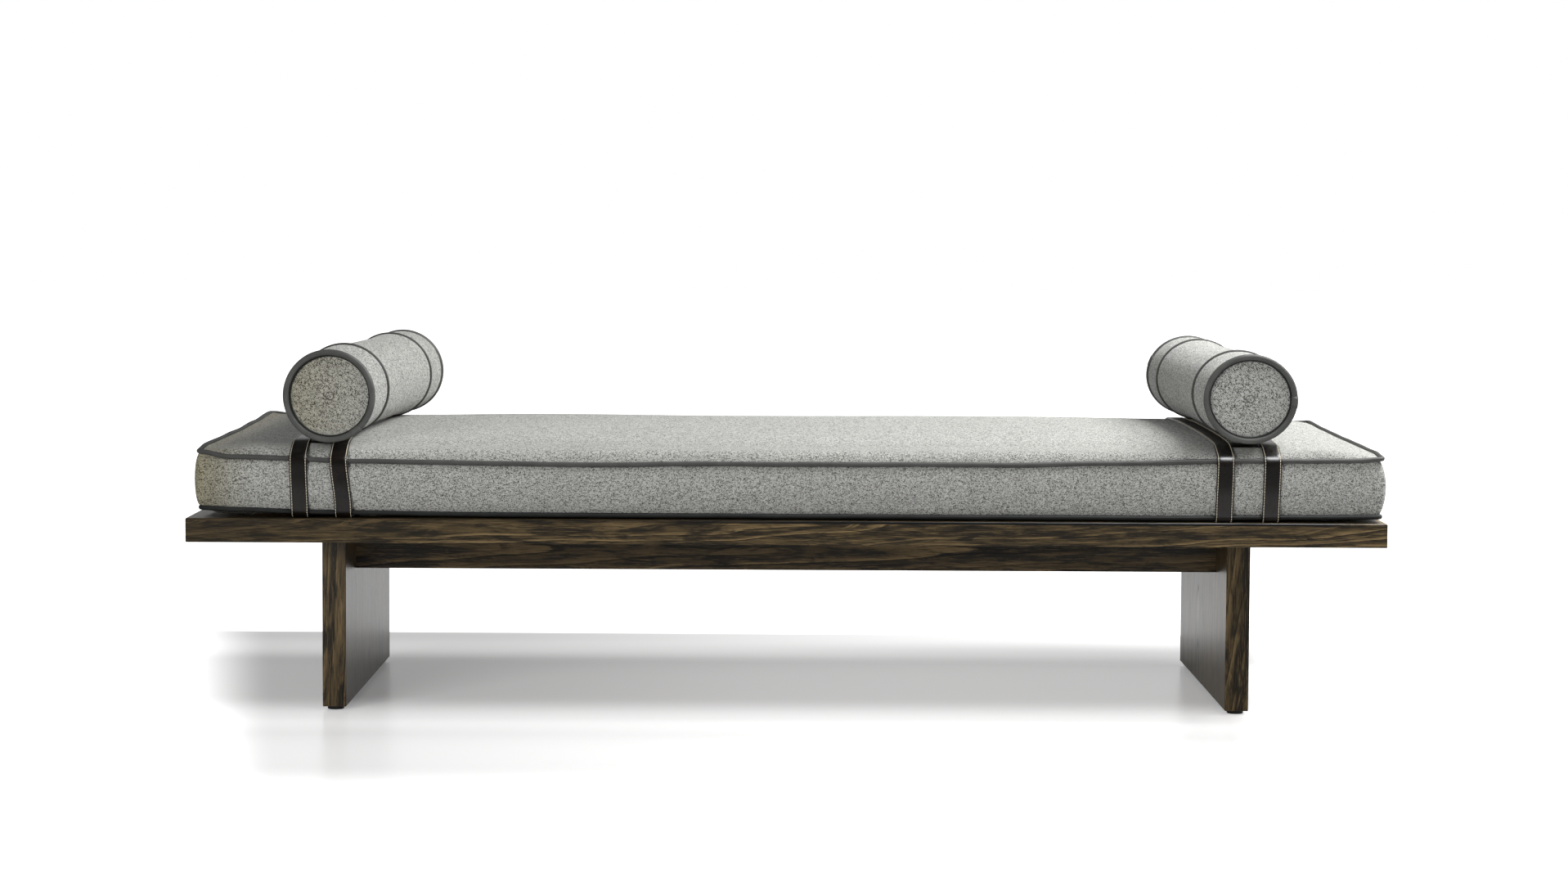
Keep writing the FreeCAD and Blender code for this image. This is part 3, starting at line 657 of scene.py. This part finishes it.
def crownAt(x, y):
    # fullest between the bolsters, where nothing holds it down
    lift = mattress["fullness"] * smooth(0.86, 0.46, abs(x)) * (0.6 + 0.4 * smooth(0.1, 0.4, abs(x)))
    rear = mattress["rearFullness"] * smooth(0.05, 0.32, y) * smooth(0.75, 0.45, abs(x))
    wander = mattress["unevenness"] * noise.noise(Vector((x * 2.6, y * 3.4, 4.0)))
    return mattress["crown"] + lift + rear + wander


def riseShare(x, y):
    # an arc over the shoulder, then a long low crown; the ends rise more slowly from their piping
    inset = insetOf(x, y)
    toEnd = min(max(halfLength - abs(x), 0.0) / mattress["endRise"], 1.0)
    hold = 1 - (1 - toEnd) ** 1.8
    width = mattress["shoulder"]
    share = mattress["shoulderShare"]
    if inset < width:
        return hold * share * math.sqrt(1 - (1 - inset / width) ** 2) ** 0.9
    reach = halfWidth - width
    fall = 1 - min((inset - width) / reach, 1.0)
    return hold * (share + (1 - share) * (1 - fall * fall))


def depthRun(line):
    # distance along a line across the top; flecks lie long on its flat, not on its shoulders
    run = [0.0]
    for a, b in zip(line, line[1:]):
        flat = smooth(0.045, 0.085, halfWidth - abs(a.y + b.y) / 2)
        run.append(run[-1] + (b - a).length * (1 - (1 - tweed["depthScale"]) * flat))
    return run


def topHeight(x, y):
    seam = highSeamAt(x, y)
    sunk = mattress["swell"] * settled * smooth(0.0, 0.035, insetOf(x, y))
    return seam + (crownAt(x, y) - seam) * riseShare(x, y) - sunk


def lowHeight(x, y):
    seam = lowSeam + along(mattress["lowLift"], x)
    return seam + (underside - seam) * smooth(0.0, 0.030, insetOf(x, y))


def bandPoint(lower, upper, v):
    # on the border between its seams; the left end hangs straight, the right one is rounded
    way = outwardAt(upper.x, upper.y)
    toSeam, full = min(v, 1 - v), 4 * v * (1 - v)
    out = mattress["bulge"] * full ** (0.8 - 0.55 * max(-way.x, 0.0))
    out += mattress["endBulge"] * abs(way.x) * full ** 0.3
    out -= mattress["swell"] * settled * smooth(0.0, 0.125, toSeam)
    out -= mattress["crease"] * smooth(0.10, 0.02, toSeam)
    return lower.lerp(upper, v) + way * out


def mattressCover():
    xs = gradedAxis(halfLength, mattress["fine"], mattress["step"])
    ys = gradedAxis(halfWidth, mattress["fine"], mattress["step"])
    nx, ny = len(xs) - 1, len(ys) - 1
    row, panelSize = ny + 1, (nx + 1) * (ny + 1)
    places = [cornered(x, y) for x in xs for y in ys]
    points = [Vector((x, y, topHeight(x, y))) for x, y in places]
    points += [Vector((x, y, lowHeight(x, y))) for x, y in places]
    rim = [(i, 0) for i in range(nx)] + [(nx, j) for j in range(ny)]
    rim += [(i, ny) for i in range(nx, 0, -1)] + [(0, j) for j in range(ny, 0, -1)]
    count = len(rim)
    highRing = [i * row + j for i, j in rim]
    lowRing = [panelSize + index for index in highRing]
    rings = [lowRing]
    for v in mattress["bandRows"][1:-1]:
        rings.append(list(range(len(points), len(points) + count)))
        points += [bandPoint(points[low], points[high], v) for low, high in zip(lowRing, highRing)]
    rings.append(highRing)
    faces, uvs = [], []
    runs = [depthRun(points[i * row:(i + 1) * row]) for i in range(nx + 1)]
    for i in range(nx):
        for j in range(ny):
            a, b = i * row + j, (i + 1) * row + j
            for quad in ((a, b, b + 1, a + 1), tuple(panelSize + n for n in (a, a + 1, b + 1, b))):
                faces.append(quad)
                uvs += [(points[n].x, runs[n % panelSize // row][n % row]) for n in quad]
    walked = [0.0]
    for k in range(count):
        walked.append(walked[-1] + (points[highRing[(k + 1) % count]] - points[highRing[k]]).length)
    for low, high in zip(rings, rings[1:]):
        for k in range(count):
            n = (k + 1) % count
            quad = (low[k], low[n], high[n], high[k])
            faces.append(quad)
            uvs += [(walked[k + (m in (1, 2))] + 3.0, points[index].z) for m, index in enumerate(quad)]
    piece = makePiece("mattress_tweed", points, faces, uvs)
    pinned = sorted(set(highRing) | set(range(panelSize, 2 * panelSize)))
    puff(piece, pinned, mattress)
    shift = Vector((mattress["shift"], 0, 0))
    for vertex in piece.data.vertices:
        vertex.co += shift
    return piece, {"xs": [x + mattress["shift"] for x in xs], "row": row, "rings": rings, "rim": rim}


cover, columns = mattressCover()
print("mattress stuffed:", len(cover.data.vertices), "points")


def seamLoop(piece, ring, stand, wobble, seed):
    # the middle of a piping bead that lies outside a seam
    spots, outs = [], []
    for index in ring:
        spot = piece.data.vertices[index].co
        way = outwardAt(spot.x - mattress["shift"], spot.y)
        wave = noise.noise(Vector((spot.x * 9.0, spot.y * 9.0, seed))) * wobble
        spots.append(spot + way * stand + Vector((0, 0, wave)))
        outs.append(way)
    return spots, outs


def beadPiece(name, spots, outs, radius, material, body, replaced, closed=True):
    def widen(index):
        return 1.0 + 0.05 * noise.noise(spots[index] * 38.0)

    piece = makePiece(name, *sweep(spots, outs, circle(radius, 12), closed, widen))
    dress(piece, material)
    register(piece, body, "piping", *replaced)


stand = beadRadius + 0.0003
topLoop = seamLoop(cover, columns["rings"][-1], stand, 0.0010, 1.0)
lowLoop = seamLoop(cover, columns["rings"][0], stand * 0.4, 0.0004, 2.0)
# the bottom piping takes the dark copy, a painted shade
for level, loop, material in (("top", topLoop, "piping"), ("bottom", lowLoop, "shadedPiping")):
    beadPiece(
        f"mattress_piping_{level}", *loop, beadRadius, materials[material], "mattress",
        [f"mattress_{level}_piping"],
    )
dress(cover, materials["tweed"])
subdivide(cover)
register(cover, "mattress", "tweed", "mattress_cover", "mattress_foam")


# Straps: taut belts round the mattress, found as the hull of its section and pipings

strap = {
    "width": 0.030,
    "thickness": 0.0025,
    "gap": 0.0003,
    "stitchInset": 0.0026,
    "stitchLength": 0.0036,
    "stitchPitch": 0.0047,
    "threadRadius": 0.0006,
    "pathStep": 0.0045,
    "ease": 0.0022,             # clear of the piping, which it crosses in a wide bend
    "bendPasses": 22,
    "aside": {"left": -0.003, "right": 0.0},
    # how far a strap has slid aside at the foot of the front border
    "slant": {"left_outer_strap": 0.0025, "left_inner_strap": 0.0080, "right_inner_strap": -0.0020,
              "right_outer_strap": -0.0018},
}


def sectionAt(x):
    # points of the mattress section (y, z) at a strap, pipings included
    nearest = min(range(len(columns["xs"])), key=lambda i: abs(columns["xs"][i] - x))
    found = []
    for i in (nearest - 1, nearest, nearest + 1):
        top = range(i * columns["row"], (i + 1) * columns["row"])
        rimPlaces = [k for k, (a, b) in enumerate(columns["rim"]) if a == i]
        band = [ring[k] for ring in columns["rings"] for k in rimPlaces]
        found += [cover.data.vertices[n].co for n in (*top, *band)]
    flat = [(p.y, p.z) for p in found]
    for spots, outs in (topLoop, lowLoop):
        for spot in spots:
            if abs(spot.x - x) < strap["width"] / 2:
                flat += [(spot.y + a, spot.z + b) for a, b in circle(beadRadius + strap["ease"], 24)]
    flat.append((0.0, underside))
    return flat


def turnsIn(a, b, c):
    return (b[0] - a[0]) * (c[1] - a[1]) <= (b[1] - a[1]) * (c[0] - a[0])


def hull(flat):
    flat = sorted(set(flat))

    def chain(points):
        out = []
        for p in points:
            while len(out) > 1 and turnsIn(out[-2], out[-1], p):
                out.pop()
            out.append(p)
        return out[:-1]

    return chain(flat) + chain(list(reversed(flat)))


def beltPath(x, stand):
    # an even walk round the hull, pushed out by a stand and rounded, from the middle of the top
    corners = [Vector(corner) for corner in hull(sectionAt(x))]
    edges = list(zip(corners, corners[1:] + corners[:1]))
    lengths = [(b - a).length for a, b in edges]
    total = sum(lengths)
    finer = 3  # walked in finer steps than the belt keeps
    steps = round(total / (strap["pathStep"] / finer))
    walk, edge, used = [], 0, 0.0
    for n in range(steps):
        target = total * n / steps
        while used + lengths[edge] < target:
            used += lengths[edge]
            edge += 1
        a, b = edges[edge]
        walk.append(a.lerp(b, (target - used) / lengths[edge]))
    pushed = []
    for n in range(steps):
        way = walk[(n + 1) % steps] - walk[n - 1]
        pushed.append(walk[n] + Vector((way.y, -way.x)).normalized() * stand)
    for again in range(strap["bendPasses"]):
        pushed = [
            pushed[n - 1] * 0.25 + pushed[n] * 0.5 + pushed[(n + 1) % steps] * 0.25 for n in range(steps)
        ]
    start = max(range(steps), key=lambda n: (pushed[n].y > topBeadHigh.z, -abs(pushed[n].x)))
    return [pushed[(start + n) % steps] for n in range(0, steps, finer)]


def strapSection():
    half, thick = strap["width"] / 2, strap["thickness"] / 2
    inset = strap["stitchInset"]
    top = [
        (-half + 0.0002, thick * 0.35), (-half + 0.0009, thick * 0.9), (-half + inset - 0.0008, thick),
        (-half + inset, thick - 0.00035), (-half + inset + 0.0008, thick), (-half * 0.5, thick + 0.0002),
        (0.0, thick + 0.00028),
    ]
    top = top + [(-a, b) for a, b in reversed(top[:-1])]
    low = [(half - 0.0002, -thick * 0.5), (half - 0.0009, -thick)]
    low += [(-a, b) for a, b in reversed(low)]
    return list(reversed(top + low))


def strapPath(node):
    low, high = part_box(node)
    x = (low.x + high.x) / 2 + strap["aside"][node.split("_")[0]]
    flat = beltPath(x, strap["gap"] + strap["thickness"] / 2)
    slant = strap["slant"][node]
    spots, outs = [], []
    count = len(flat)
    for n, (y, z) in enumerate(flat):
        way = flat[(n + 1) % count] - flat[n - 1]
        aside = slant * smooth(0.44, 0.35, z) * smooth(0.30, 0.41, -y)
        spots.append(Vector((x + aside, y, z)))
        outs.append(Vector((0, way.y, -way.x)).normalized())
    return spots, outs


def stitchTree():
    # stitches along a curve: its points are resampled, and each gets a short rounded bar
    tree = bpy.data.node_groups.new("stitch row", "GeometryNodeTree")
    face = tree.interface
    face.new_socket("Geometry", in_out="INPUT", socket_type="NodeSocketGeometry")
    face.new_socket("Geometry", in_out="OUTPUT", socket_type="NodeSocketGeometry")
    for title, value in (("Pitch", 0.0047), ("Length", 0.0034), ("Thickness", 0.0004)):
        socket = face.new_socket(title, in_out="INPUT", socket_type="NodeSocketFloat")
        socket.default_value = value
    face.new_socket("Thread", in_out="INPUT", socket_type="NodeSocketMaterial")
    kinds = {
        "resample": "ResampleCurve", "points": "CurveToPoints", "bar": "MeshCylinder",
        "instance": "InstanceOnPoints", "realize": "RealizeInstances", "soften": "SetShadeSmooth",
        "paint": "SetMaterial",
    }
    nodes = {key: tree.nodes.new("GeometryNode" + kind) for key, kind in kinds.items()}
    nodes["given"] = tree.nodes.new("NodeGroupInput")
    nodes["result"] = tree.nodes.new("NodeGroupOutput")
    nodes["align"] = tree.nodes.new("FunctionNodeAlignRotationToVector")
    nodes["resample"].mode = "LENGTH"
    nodes["points"].mode = "EVALUATED"
    nodes["align"].axis = "Z"
    nodes["bar"].inputs["Vertices"].default_value = 6
    nodes["bar"].inputs["Side Segments"].default_value = 2
    wires = (
        ("given", "Geometry", "resample", "Curve"),
        ("given", "Pitch", "resample", "Length"),
        ("resample", "Curve", "points", "Curve"),
        ("given", "Length", "bar", "Depth"),
        ("given", "Thickness", "bar", "Radius"),
        ("points", "Tangent", "align", "Vector"),
        ("points", "Points", "instance", "Points"),
        ("bar", "Mesh", "instance", "Instance"),
        ("align", "Rotation", "instance", "Rotation"),
        ("instance", "Instances", "realize", "Geometry"),
        ("realize", "Geometry", "soften", "Geometry"),
        ("soften", "Geometry", "paint", "Geometry"),
        ("given", "Thread", "paint", "Material"),
        ("paint", "Geometry", "result", "Geometry"),
    )
    for start, output, end, entry in wires:
        tree.links.new(nodes[start].outputs[output], nodes[end].inputs[entry])
    return tree, {item.name: item.identifier for item in face.items_tree if item.in_out == "INPUT"}


stitches, stitchInputs = stitchTree()


def stitchRows(name, rows, body):
    line = bpy.data.curves.new(name, "CURVE")
    line.dimensions = "3D"
    for spots in rows:
        spline = line.splines.new("POLY")
        spline.points.add(len(spots) - 1)
        for point, spot in zip(spline.points, spots):
            point.co = (*spot, 1.0)
        spline.use_cyclic_u = True
    guide = bpy.data.objects.new(name + "_line", line)
    scene.collection.objects.link(guide)
    sewing = guide.modifiers.new("sewing", "NODES")
    sewing.node_group = stitches
    for title, key in (("Pitch", "stitchPitch"), ("Length", "stitchLength"), ("Thickness", "threadRadius")):
        sewing[stitchInputs[title]] = strap[key]
    sewing[stitchInputs["Thread"]] = materials["thread"]
    bpy.context.view_layer.update()
    made = guide.evaluated_get(bpy.context.evaluated_depsgraph_get())
    mesh = bpy.data.meshes.new_from_object(made)
    bpy.data.objects.remove(guide)
    piece = bpy.data.objects.new(name, mesh)
    piece.data.name = name
    scene.collection.objects.link(piece)
    register(piece, body, "strap_leather")


def stitchLine(spots, outs, way):
    # along one edge of a belt
    reach = way * (strap["width"] / 2 - strap["stitchInset"])
    lift = strap["thickness"] / 2 - 0.00005
    row = []
    for n, (spot, out) in enumerate(zip(spots, outs)):
        heading = (spots[(n + 1) % len(spots)] - spots[n - 1]).normalized()
        row.append(spot + heading.cross(out) * reach + out * lift)
    return row


def leatherPiece(node, side, points, faces, uvs):
    piece = makePiece(node + "_leather", points, faces, uvs)
    dress(piece, materials["leather"])
    register(piece, side + "_bolster", "strap_leather", node)


strapPaths = {}
for side in ("left", "right"):
    rows = []
    for place in ("outer", "inner"):
        node = f"{side}_{place}_strap"
        spots, outs = strapPath(node)
        strapPaths[node] = spots
        leatherPiece(node, side, *sweep(spots, outs, strapSection()))
        rows += [stitchLine(spots, outs, way) for way in (-1, 1)]
    stitchRows(side + "_strap_stitching", rows, side + "_bolster")
print("straps sewn")


bridge = {
    "along": 10,                # rows from front to back
    "across": 12,
    "tuck": 0.0005,             # under each strap
    "sag": 0.0006,
    "rimShare": 0.55,           # its front and rear edges are pared thin
}


def bridgePiece(node, side):
    # a leather plate between two straps, bent over the cushion like them
    low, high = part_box(node)
    near = [spot for spot in strapPaths[f"{side}_inner_strap"] if low.y - 0.01 < spot.y < high.y + 0.01]
    above = sorted((spot.y, spot.z) for spot in near if spot.z > 0.40)

    def surface(y):
        for a, b in zip(above, above[1:]):
            if a[0] <= y <= b[0]:
                return a[1] + (b[1] - a[1]) * ((y - a[0]) / (b[0] - a[0]))
        return above[0][1] if y < above[0][0] else above[-1][1]

    rows, across, half = bridge["along"], bridge["across"], strap["thickness"] / 2
    left = low.x + strap["aside"][side] - bridge["tuck"]
    right = high.x + strap["aside"][side] + bridge["tuck"]
    points, faces, uvs = [], [], []
    for level in (half, -half):
        for i in range(rows + 1):
            y = low.y + (high.y - low.y) * i / rows
            top = surface(y) + level * (bridge["rimShare"] if i in (0, rows) else 1.0)
            for j in range(across + 1):
                sag = bridge["sag"] * math.sin(math.pi * j / across)
                points.append(Vector((left + (right - left) * j / across, y, top - sag)))
    width = across + 1
    size = (rows + 1) * width

    def addFace(*quad):
        faces.append(quad)
        uvs.extend((points[n].x, points[n].y) for n in quad)

    for i in range(rows):
        for j in range(across):
            a = i * width + j
            addFace(a, a + 1, a + width + 1, a + width)
            addFace(size + a, size + a + width, size + a + width + 1, size + a + 1)
    border = list(range(across)) + [i * width + across for i in range(rows)]
    border += [rows * width + j for j in range(across, 0, -1)] + [i * width for i in range(rows, 0, -1)]
    for a, b in zip(border, border[1:] + border[:1]):
        addFace(a, size + a, size + b, b)
    leatherPiece(node, side, points, faces, uvs)


for side in ("left", "right"):
    for face in ("front", "rear"):
        bridgePiece(f"{side}_{face}_bridge", side)
print("bridges laid")


# Bolsters: stuffed rolls with thick piping at the ends and two thinner rings

roll = {
    "around": 96,
    "fullRadius": 0.0787,
    "swell": 0.004,
    "shrink": 0.002,
    "calm": 12,
    "dome": 0.006,
    "crease": 0.0020,
    "fall": 0.015,              # over this length the cover dips to a seam
    "end": {"seam": 0.0688, "bead": 0.0050, "gap": 0.0003, "inset": 0.0, "piping": "rollPiping"},
    "ring": {"seam": 0.0716, "bead": 0.0027, "gap": 0.0006, "inset": 0.150, "piping": "piping"},
    # a thin dark bead inside each end piping, a painted shadow on the disc
    "shadowBead": {"bead": 0.0017, "inward": 0.0020, "sunk": 0.0006},
    "join": {"points": 5, "thicker": 1.13},
    "discRows": (0.0, 0.10, 0.22, 0.36, 0.50, 0.64, 0.77, 0.88, 0.95, 0.985, 1.0),
    "tubeRows": (0.0, 0.002, 0.005, 0.009, 0.014, 0.020),
    "tubeStep": 0.0115,
    # the oval of each roll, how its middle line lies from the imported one, from front to rear,
    # and where the end pipings are joined: (side, degrees)
    "left": {
        "turn": -2.4, "wide": 1.0, "tall": 1.006, "shift": -0.0025,
        "line": ((-0.403, -0.0036), (-0.24, 0.0012), (0.403, 0.0008)), "joins": ((-1, 300), (1, 200)),
    },
    "right": {
        "turn": 0.6, "wide": 1.018, "tall": 0.966, "shift": 0.001,
        "line": ((-0.403, 0.0018), (-0.24, 0.0030), (0.403, 0.0026)), "joins": ((-1, 348), (1, 150)),
    },
}
rollSeams = (("front", -1, "end"), ("front", -1, "ring"), ("rear", 1, "ring"), ("rear", 1, "end"))


def rollStations():
    # (y, radius, kind) from the front pole to the rear pole
    ringPlace = halfWidth - roll["ring"]["inset"]

    def tubeRadius(y):
        radius = roll["fullRadius"] - roll["swell"] * settled
        for place, low in ((halfWidth, roll["end"]["seam"]), (ringPlace, roll["ring"]["seam"])):
            near = abs(abs(y) - place) / roll["fall"]
            if near < 1:
                radius = min(radius, low + (radius - low) * math.sqrt(1 - (1 - near) ** 2) ** 0.8)
        return radius

    front = []
    for share in roll["discRows"][:-1]:
        dome = (roll["dome"] - roll["swell"] * 0.8) * (1 - share ** 2)
        sunk = roll["crease"] * smooth(0.88, 0.985, share)
        front.append((-halfWidth - dome + sunk, share * roll["end"]["seam"], "disc"))
    places = []
    for start, end in ((-halfWidth, -ringPlace), (-ringPlace, ringPlace), (ringPlace, halfWidth)):
        middle = (start + end) / 2
        rows = gradedAxis((end - start) / 2, roll["tubeRows"], roll["tubeStep"])
        places += [middle + row for row in rows][:-1]
    places.append(halfWidth)
    seams = {round(place, 6) for place in (-halfWidth, -ringPlace, ringPlace, halfWidth)}
    tube = [(y, tubeRadius(y), "seam" if round(y, 6) in seams else "tube") for y in places]
    rear = [(-y, radius, kind) for y, radius, kind in reversed(front)]
    return front + tube + rear


def rollMesh():
    # a straight roll round its own middle; also which faces are discs, and the seam points
    stations = rollStations()
    around = roll["around"]
    points, faces, uvs, discs, pinned, starts = [], [], [], [], [], []
    for y, radius, kind in stations:
        starts.append(len(points))
        points += [Vector((a, y, b)) for a, b in circle(radius, around)] if radius else [Vector((0, y, 0))]
        if kind == "seam":
            pinned += range(starts[-1], len(points))
    girth = 2 * math.pi * roll["fullRadius"]
    for s, (a, b) in enumerate(zip(starts, starts[1:])):
        flat = "disc" in (stations[s][2], stations[s + 1][2])
        for k in range(around):
            n = (k + 1) % around
            if s == 0:
                quad = (b + k, b + n, a)
            elif s == len(stations) - 2:
                quad = (a + n, a + k, b)
            else:
                quad = (a + n, b + n, b + k, a + k)
            faces.append(quad)
            discs.append(flat)
            for index in quad:
                p = points[index]
                if flat:
                    uvs.append((p.x * 0.8 + (0.5 if p.y < 0 else 0.9), p.z * 0.8))
                else:
                    share = k if index in (a + k, b + k) else k + 1
                    uvs.append((girth * share / around, p.y * tweed["depthScale"]))
    return points, faces, uvs, discs, pinned


def bolsterPieces(side):
    low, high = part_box(side + "_bolster_cover")
    middle = Vector(((low.x + high.x) / 2, (low.y + high.y) / 2, (low.z + high.z) / 2))
    settings = roll[side]
    turn = Matrix.Rotation(math.radians(settings["turn"]), 3, "Z")

    def settle(p):
        q = Vector((p.x * settings["wide"], p.y, p.z * settings["tall"]))
        return turn @ q + middle + Vector((settings["shift"], 0, along(settings["line"], p.y)))

    points, faces, uvs, discs, pinned = rollMesh()
    cover = makePiece(side + "_bolster_tweed", points, faces, uvs)
    puff(cover, pinned, roll)
    for vertex in cover.data.vertices:
        vertex.co = settle(vertex.co)
    cover.data.materials.append(materials["tweed"])
    cover.data.materials.append(materials["tweedDisc"])
    for polygon, flat in zip(cover.data.polygons, discs):
        polygon.material_index = 1 if flat else 0
    subdivide(cover)
    register(cover, side + "_bolster", "tweed", side + "_bolster_cover", side + "_bolster_core")
    for face, facing, kind in rollSeams:
        rollPiping(side, face, facing, kind, settle, turn)


def rollPiping(side, face, facing, kind, settle, turn):
    seam, shadowBead, around = roll[kind], roll["shadowBead"], roll["around"]
    body = side + "_bolster"
    cloth = materials[seam["piping"]]
    spots, outs = [], []
    for a, b in circle(1, around):
        out = Vector((a, facing if kind == "end" else 0, b)).normalized()
        place = Vector((seam["seam"] * a, facing * (halfWidth - seam["inset"]), seam["seam"] * b))
        spots.append(settle(place + out * (seam["bead"] + seam["gap"])))
        outs.append((turn @ out).normalized())
    name = f"{side}_bolster_{face}_{kind}_piping"
    beadPiece(name + "_bead", spots, outs, seam["bead"], cloth, body, [name])
    if kind == "ring":
        return
    # a painted shadow: a thin dark bead just inside the end piping, on the rim of the disc
    level = facing * (halfWidth - shadowBead["sunk"])
    inner = [settle(Vector((a, level, b))) for a, b in circle(seam["seam"] - shadowBead["inward"], around)]
    beadPiece(f"{side}_{face}_piping_shadow", inner, outs, shadowBead["bead"], materials["shadedPiping"], body, [])
    for join, degrees in roll[side]["joins"]:
        if join == facing:
            first = round(degrees / 360 * around)
            places = [(first + n) % around for n in range(roll["join"]["points"])]
            beadPiece(
                f"{side}_{face}_piping_join", [spots[n] for n in places], [outs[n] for n in places],
                seam["bead"] * roll["join"]["thicker"], cloth, body, [], closed=False,
            )


for side in ("left", "right"):
    bolsterPieces(side)
print("bolsters stuffed")


# Studio: a white floor that keeps the shadow, a broad lamp above at the right rear, and softer ones

studio = {
    "floorSize": 60.0,
    "floorWhite": 0.80,
    "floorGlow": (0.155, 0.26), # at the left, and from the middle on
    "nearGlow": 0.25,           # more towards the camera
    "frontGlow": 0.3,
    "mirrorGlow": 0.7,          # of the floor behind, in polished faces
    # where the floor turns white: behind, in front, and fanning out at the left and at the right
    "rear": (0.735, 0.765),
    "near": (0.15, 0.40),
    "front": (0.90, 1.25),
    "fan": 6.097,
    "left": (0.150, 0.186),
    "right": (0.131, 0.152),
    "ambient": 0.08,
    "ambientInPolish": 0.05,
    "lens": 78.61,
    "eye": (-0.01456, -6.09686, 0.85433),
    "yaw": 0.0016555,
    "pitch": 0.0678844,
    "roll": 0.0053541,
    "lamps": (
        # name, place, aim, width, height, watts, colour, lights, shows in polish
        ("key", (2.1, 0.3, 2.6), (0.4, 0.0, 0.3), 1.8, 1.8, 168.0, (1.0, 1.0, 0.995), True, True),
        ("overhead", (1.3, -1.35, 2.8), (0.2, 0.0, 0.3), 2.0, 2.0, 33.0, (1.0, 1.0, 0.995), True, True),
        ("front", (-2.4, -4.2, 1.5), (-0.3, 0.0, 0.35), 2.0, 1.6, 110.0, (1.0, 1.0, 0.995), True, False),
        ("sheen", (1.15, -1.3, 2.8), (0.75, -0.4, 0.44), 0.9, 1.3, 80.0, (0.96, 0.98, 1.0), False, True),
    ),
}


def buildFloor():
    half = studio["floorSize"] / 2
    corners = [(-half, -half, 0), (half, -half, 0), (half, half, 0), (-half, half, 0)]
    floor = makePiece("floor", corners, [(0, 1, 2, 3)])
    m = Recipe("white floor")
    x, y, z = m.split(m.place())
    fan = x / (y + studio["fan"])
    ahead = y * -1
    white = y.step(*studio["rear"]).maths("MAXIMUM", (fan * -1).step(*studio["left"]))
    white = white.maths("MAXIMUM", fan.step(*studio["right"]))
    low, high = studio["floorGlow"]
    white = white + low + (high - low) * x.step(-0.75, 0.0)
    white = white + studio["nearGlow"] * ahead.step(*studio["near"])
    white = white + studio["frontGlow"] * ahead.step(*studio["front"])
    # painted shadow: the floor's colour is darkened where the lamp behind would wash the real shadow out,
    # and a little in a band in front
    across = x.step(-0.9, 0.8)
    middle = y.step(0.20, 0.38) * (1 - y.step(0.46, 0.70))
    depth = middle * (0.15 + 0.52 * across) + y.step(0.46, 0.70) * (0.52 - 0.24 * across)
    band = 0.48 * ahead.step(0.40, 0.60) * (1 - ahead.step(0.9, 1.3))
    grey = (1 - depth - band) * studio["floorWhite"]
    seen = m.add("ShaderNodeLightPath")
    mirrored = Wire(m, seen.socket.node.outputs["Is Glossy Ray"]) * y.step(*studio["rear"])
    surface = m.add("ShaderNodeBsdfPrincipled", None, {
        "Base Color": m.join(grey, grey, grey), "Roughness": 0.28, "Specular IOR Level": 0.25,
    })
    strength = seen * white + mirrored * studio["mirrorGlow"]
    glow = m.add("ShaderNodeEmission", None, {"Color": (1, 1, 1, 1), "Strength": strength})
    both = m.add("ShaderNodeAddShader", None, {0: surface, 1: glow})
    m.add("ShaderNodeOutputMaterial", None, {"Surface": both})
    dress(floor, m.made)


def buildWorld():
    # white to the camera and, behind the divan, in reflections; a plain soft level for all other light
    m = Recipe("studio", bpy.data.worlds)
    scene.world = m.made
    path = m.add("ShaderNodeLightPath")
    outputs = path.socket.node.outputs
    glossy, through = Wire(m, outputs["Is Glossy Ray"]), Wire(m, outputs["Is Transmission Ray"])
    x, y, z = m.split(m.add("ShaderNodeTexCoord"))
    behind = y.step(-0.25, 0.35) * (1 - z.step(0.12, 0.35)) * (0.75 + 0.25 * x.step(-0.04, 0.04))
    shown = path.maths("MAXIMUM", through).maths("MAXIMUM", glossy * behind)
    dim, dark, white = [
        m.add("ShaderNodeBackground", None, {"Color": (1, 1, 1, 1), "Strength": strength})
        for strength in (studio["ambient"], studio["ambientInPolish"], 1.0)
    ]
    rest = m.add("ShaderNodeMixShader", None, {0: glossy, 1: dim, 2: dark})
    mixed = m.add("ShaderNodeMixShader", None, {0: shown, 1: rest, 2: white})
    m.add("ShaderNodeOutputWorld", None, {"Surface": mixed})


def buildLamps():
    for name, place, aim, width, height, watts, colour, lights, polish in studio["lamps"]:
        light = bpy.data.lights.new(name, "AREA")
        light.shape = "RECTANGLE"
        light.size, light.size_y = width, height
        light.energy = watts
        light.color = colour
        lamp = bpy.data.objects.new(name, light)
        lamp.location = place
        lamp.visible_diffuse = lights
        lamp.visible_glossy = polish
        lamp.rotation_mode = "QUATERNION"
        lamp.rotation_quaternion = (Vector(aim) - Vector(place)).to_track_quat("-Z", "Y")
        scene.collection.objects.link(lamp)


def buildCamera():
    view = bpy.data.cameras.new("camera")
    view.lens = studio["lens"]
    view.sensor_width = 36.0
    view.clip_end = 100.0
    camera = bpy.data.objects.new("camera", view)
    turn = Matrix.Rotation(-studio["yaw"], 4, "Z")
    turn = turn @ Matrix.Rotation(math.pi / 2 - studio["pitch"], 4, "X")
    turn = turn @ Matrix.Rotation(studio["roll"], 4, "Z")
    camera.matrix_world = Matrix.Translation(studio["eye"]) @ turn
    scene.collection.objects.link(camera)
    scene.camera = camera


buildFloor()
buildWorld()
buildLamps()
buildCamera()
scene.view_settings.view_transform = "Standard"
print("studio ready")
